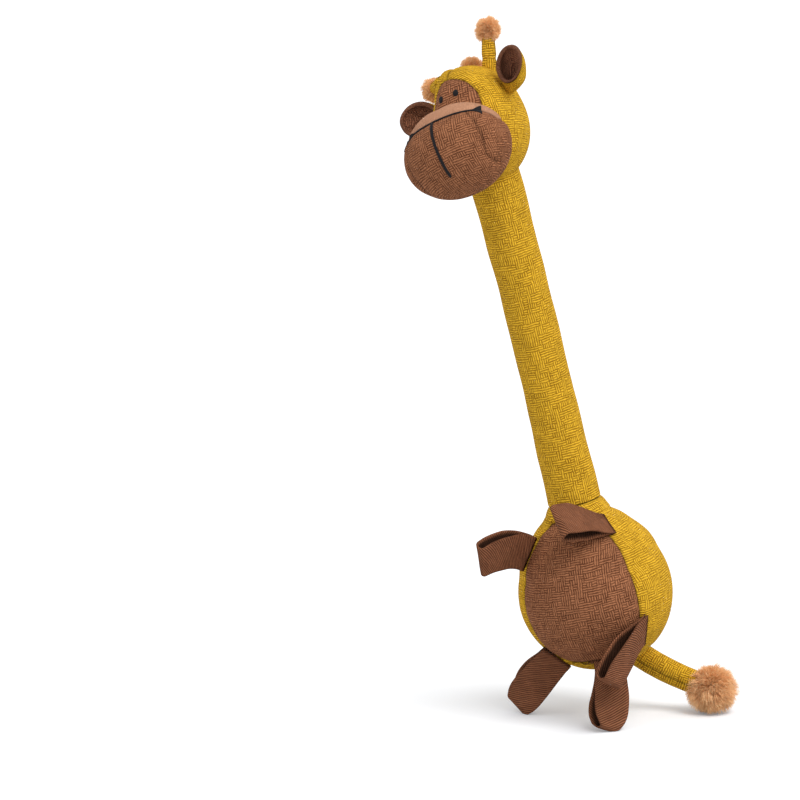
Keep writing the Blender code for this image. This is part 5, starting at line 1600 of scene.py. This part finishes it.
def strap_loops(root_sink, count=30, fold_count=14):
    """The side view of a folded tape as matching outer and slit points, (along, across, half the slit)."""
    fold = TAPE_THICKNESS + STRAP_OPENING
    centre = STRAP_LENGTH - fold
    outer, inner = [], []
    for step in range(count):
        share = STRAP_LAST_SHARE * step / (count - 1)
        slit = STRAP_SLIT_START_SHARE + (STRAP_LAST_SHARE - STRAP_SLIT_START_SHARE) * step / (count - 1)
        gape = STRAP_OPENING * swell(share)
        slit_gape = STRAP_OPENING * swell(slit)
        outer.append((centre * share, TAPE_THICKNESS + gape, gape))
        inner.append((centre * slit, slit_gape, slit_gape))
    for step in range(fold_count):
        angle = math.pi / 2 * (1 - step / (fold_count - 1))
        gape = STRAP_OPENING * math.sin(angle)
        outer.append((centre + fold * math.cos(angle), fold * math.sin(angle), gape))
        inner.append((centre + STRAP_OPENING * math.cos(angle), gape, gape))
    outer.insert(0, (-root_sink, TAPE_THICKNESS, 0.0))
    inner.insert(0, inner[0])
    outer_loop = [*outer, *[(along, -across, -gape) for along, across, gape in reversed(outer[:-1])]]
    inner_loop = [*inner, *[(along, -across, -gape) for along, across, gape in reversed(inner[:-1])]]
    return outer_loop, inner_loop


def strap_width_share(share, tip_share):
    """The strap's width at a share of its length, narrowing in a round end."""
    into_end = max(0.0, share - STRAP_ROUND_SHARE) / (1 - STRAP_ROUND_SHARE)
    return tip_share + (1 - tip_share) * max(0.0, 1 - into_end**STRAP_END_POWER) ** (1 / STRAP_END_POWER)


def strap_middle(root, tip, along, slices=24):
    """The strap's middle line, from its root, at a distance along it."""
    if along <= 0:
        return root * along
    step = along / slices
    return sum(slide(root, tip, (number + 0.5) * step / STRAP_LENGTH) * step for number in range(slices))


def strap_grid(name, loop, droop, columns=25):
    """World points over a strap's loop, from side to side."""
    spec = STRAPS[name]
    pivot, root_width = hinge(spec["body"])
    root = square_to(np.array(spec["root_heading"]), root_width)
    tip = unit(spec["tip_heading"])
    tip_width = unit(spec["tip_width"])
    if root_width.dot(tip_width) < 0:
        tip_width = -tip_width
    turn = turned_by(droop, root_width)
    open_side = math.copysign(1.0, tip_width.dot(spec["opens"]))
    front_side = math.copysign(1.0, np.cross(tip, square_to(tip_width, tip)).dot(FRONT))
    skew = -spec["skew"] * open_side * front_side
    points = np.zeros((len(loop), columns, 3))
    cloth = np.full((len(loop), columns, 3), NO_SEAM)
    length = 0.0
    for row, (along, across, gape) in enumerate(loop):
        share = max(0.0, along) / STRAP_LENGTH
        heading = slide(root, tip, share)
        width_line = square_to(slide(root_width, tip_width, share), heading)
        thick_line = np.cross(heading, width_line)
        centre = strap_middle(root, tip, along)
        half = STRAP_WIDTH / 2 * strap_width_share(share, spec["tip_width_share"])
        spread = min(1.0, share / STRAP_OPEN_SHARE)
        width_shares = [part + (1 - part) * spread for part in spec["root_shares"]]
        if row:
            length += math.dist(loop[row][:2], loop[row - 1][:2])
        for column in range(columns):
            side = 2 * column / (columns - 1) - 1
            level = across - gape + gape * spec["opening"] * (1 + STRAP_FLARE * open_side * side)
            sideways = half * side * width_shares[int(side * open_side > 0)] + skew * gape / STRAP_OPENING
            points[row, column] = pivot + turn @ (centre + width_line * sideways + thick_line * level)
            cloth[row, column, :2] = (side * half, length)
    return points, cloth


def slit_cloth(cloth):
    """The cloth map of a strap's inner side, nearer to full shade the further a place lies from its edges."""
    half = np.max(abs(cloth[..., 0]), axis=1, keepdims=True)
    inward = np.clip((half - abs(cloth[..., 0])) / SLIT_SHADE_REACH, 0, 1)
    return np.dstack((cloth[..., :2], 2 * SEAM_SHADE_WIDTH * (1 - inward)))


def settle(lowest_of):
    """The droop angle at which a limb's lowest point lies the floor cut below the floor."""
    low, high = -DROOP_LIMIT, DROOP_LIMIT
    rising = lowest_of(high) > lowest_of(low)
    for _ in range(30):
        middle = (low + high) / 2
        above = lowest_of(middle) > -FLOOR_CUT
        if above == rising:
            high = middle
        else:
            low = middle
    return (low + high) / 2


def build_straps():
    """Arms and legs: tape folded into flat loops, open at both sides."""
    for name, spec in STRAPS.items():
        outer_loop, inner_loop = strap_loops(spec["root_sink"])
        coarse = outer_loop[::4]
        droop = 0.0
        if name in FLOOR_LEGS:
            droop = settle(lambda angle, limb=name: strap_grid(limb, coarse, angle, 2)[0][..., 2].min())
        outer, cloth = strap_grid(name, outer_loop, droop)
        inner, inner_cloth = strap_grid(name, inner_loop, droop)
        # The slit's inner side is darkened deep inside with painted shade.
        inner_cloth = slit_cloth(inner_cloth)
        grids = [(outer, cloth, False), (inner, inner_cloth, False)]
        for column in (0, -1):
            middle = (outer[:, column] + inner[:, column]) / 2
            sideways = unit(outer[:, column] - outer[:, 12]) * STRAP_EDGE_ROUND
            edge = np.stack((outer[:, column], middle + sideways, inner[:, column]), 1)
            edge_cloth = np.repeat(cloth[:, column][:, None, :], 3, 1)
            edge_cloth = edge_cloth + np.linspace(0, TAPE_THICKNESS, 3)[None, :, None] * np.array((1, 1, 0))
            grids.append((edge, edge_cloth, False))
        for row in (0, -1):
            end = np.stack((outer[row], inner[row]), 0)
            grids.append((end, np.stack((cloth[row], inner_cloth[row]), 0), False))
        rough = [(waved(spots, name), flat, wrap) for spots, flat, wrap in grids]
        made = grid_object(f"{name}_tape", rough)
        dress(made, "twill_tape", spec["body"], (name,))


def waved(points, name):
    """Points of soft tape or a cup of cloth, waved a little and flat where they meet the floor."""
    moved = points.reshape(-1, 3).copy()
    start = Vector((0.7 * len(name), 1.3, 0.4))
    for number, spot in enumerate(moved):
        push = noise.noise_vector(Vector(spot) / TAPE_WAVE_SIZE + start) * TAPE_WAVE_DEPTH
        moved[number] += np.array(push)
    moved[:, 2] = np.maximum(moved[:, 2], 0.0)
    return moved.reshape(points.shape)


# Tail
def tail_path(droop, count):
    """The tail's stations of (centre, heading), bent down at its root by the droop."""
    outward = unit(TAIL_ROOT_DIRECTION)
    place = BODY_CENTRE + outward * (BODY_RADIUS - TAIL_START_SINK)
    root = unit(TAIL_ROOT_HEADING)
    turn = turned_by(droop, np.cross(root, UP))
    tip = turn @ unit(TAIL_TIP_HEADING)
    root = turn @ root
    stations = []
    step = TAIL_LENGTH / count
    for number in range(count + 1):
        stations.append((place.copy(), slide(root, tip, number / count)))
        place = place + slide(root, tip, (number + 0.5) / count) * step
    return stations


def tail_ball_centre(droop):
    """The middle of the fur ball on the tail's tip."""
    place, heading = tail_path(droop, 7)[-1]
    return place + heading * (TAIL_POMPOM_RADIUS - TAIL_POMPOM_SINK)


def build_tail():
    """The stuffed tail and the ball of fur on its tip."""
    droop = settle(lambda angle: tail_ball_centre(angle)[2] - TAIL_POMPOM_RADIUS)
    rows = columns = 44
    path = tail_path(droop, rows)
    turns = np.linspace(0, math.tau, columns + 1)
    centres, headings = zip(*path)
    acrosses = [square_to((1.0, 0.0, 0.0), heading) for heading in headings]
    shares = np.linspace(0, 1, rows + 1)
    radii = TAIL_RADIUS + (TAIL_TIP_RADIUS - TAIL_RADIUS) * shares
    overs = np.cross(headings, acrosses)
    spots, normals, cloth = tube(turns, centres, acrosses, overs, radii, TAIL_RADIUS, TAIL_LENGTH * shares)
    tree = seam_tree([spots[:, columns // 4]])
    spots, cloth = sewn(spots, cloth, normals, tree, depth=TAIL_SEAM_DEPTH)
    made = closed_ends(grid_object("tail_cloth", [(spots, cloth, True)]))
    dress(made, "mustard_cloth", "tail", ("tail_cover", "tail_stuffing"))
    centre = tail_ball_centre(droop)
    fur_ball("fur_tail", centre, path[-1][1], TAIL_POMPOM_RADIUS, "tail", ("tail_pompom",), 16000, 51)


# Camera, lights and floor
def build_camera():
    """A long lens at the photographed angle, aimed so that the body falls on its own pixel."""
    right = np.array((math.cos(VIEW_AZIMUTH), math.sin(VIEW_AZIMUTH), 0.0))
    back = np.array((
        math.sin(VIEW_AZIMUTH) * math.cos(VIEW_ELEVATION),
        -math.cos(VIEW_AZIMUTH) * math.cos(VIEW_ELEVATION),
        math.sin(VIEW_ELEVATION),
    ))
    above = np.cross(back, right)
    middle = FRAME_PIXELS / 2
    aim = BODY_CENTRE + right * (middle - BODY_PIXEL[0]) * METRES_PER_PIXEL
    aim = aim + above * (BODY_PIXEL[1] - middle) * METRES_PER_PIXEL
    data = bpy.data.cameras.new("camera")
    data.lens = LENS
    data.sensor_width = SENSOR
    distance = FRAME_PIXELS * METRES_PER_PIXEL * LENS / SENSOR
    data.clip_end = 4 * distance
    made = placed("camera", data)
    made.location = aim + back * distance
    made.rotation_euler = Vector(back).to_track_quat("Z", "Y").to_euler()
    bpy.context.scene.camera = made


def joined(tree, kind, *values, **settings):
    """The output of a new node with its settings, its inputs in turn linked or given a value."""
    made = tree.nodes.new(kind)
    for name, value in settings.items():
        setattr(made, name, value)
    for socket, value in zip(made.inputs, values):
        if isinstance(value, bpy.types.NodeSocket):
            tree.links.new(value, socket)
        elif value is not None:
            socket.default_value = value
    return made.outputs[0]


def background_rays(tree):
    """1 for the rays that see the plain background: the camera's, and those of gloss and of glass."""
    path = tree.nodes.new("ShaderNodeLightPath").outputs
    found = path["Is Camera Ray"]
    for name in ("Is Glossy Ray", "Is Transmission Ray"):
        found = joined(tree, "ShaderNodeMath", found, path[name], operation="MAXIMUM")
    return found


def build_stage():
    """A plain pale floor that keeps the shadow, a white surround, and one soft lamp."""
    world = bpy.data.worlds.new("surround")
    bpy.context.scene.world = world
    world.use_nodes = True
    tree = world.node_tree
    ends = (0.0, 1.0, SURROUND_STRENGTH, BACKGROUND_STRENGTH)
    strength = joined(tree, "ShaderNodeMapRange", background_rays(tree), *ends)
    tree.nodes["Background"].inputs["Color"].default_value = (1, 1, 1, 1)
    tree.links.new(strength, tree.nodes["Background"].inputs["Strength"])

    mesh = bpy.data.meshes.new("floor")
    corners = [(x * FLOOR_REACH, y * FLOOR_REACH, 0) for x, y in ((-1, -1), (1, -1), (1, 1), (-1, 1))]
    mesh.from_pydata(corners, [], [(0, 1, 2, 3)])
    floor = placed("floor", mesh)
    floor.location = (0, 0, -FLOOR_GAP)
    material = bpy.data.materials.new("pale_floor")
    material.use_nodes = True
    tree = material.node_tree
    tree.nodes.clear()
    matt = joined(tree, "ShaderNodeBsdfDiffuse", FLOOR_COLOUR)
    glow = joined(tree, "ShaderNodeEmission", FLOOR_GLOW_COLOUR, FLOOR_GLOW)
    seen = joined(tree, "ShaderNodeAddShader", matt, glow)
    bounced = joined(tree, "ShaderNodeBsdfDiffuse", FLOOR_BOUNCE_COLOUR)
    surface = joined(tree, "ShaderNodeMixShader", background_rays(tree), bounced, seen)
    tree.links.new(surface, tree.nodes.new("ShaderNodeOutputMaterial").inputs["Surface"])
    mesh.materials.append(material)

    sun = bpy.data.lights.new("soft_sun", "SUN")
    sun.energy = LAMP_STRENGTH
    sun.angle = LAMP_WIDTH
    placed("soft_sun", sun).rotation_euler = Vector(LAMP_DIRECTION).to_track_quat("Z", "Y").to_euler()


build_camera()
build_stage()
build_body()
build_neck()
face = build_head()
muzzle = build_muzzle()
build_stitches(surface_of(muzzle["muzzle"], muzzle["bridge"]), surface_of(face))
build_ears()
build_horns()
build_straps()
build_tail()
bpy.context.scene.view_settings.view_transform = "Standard"
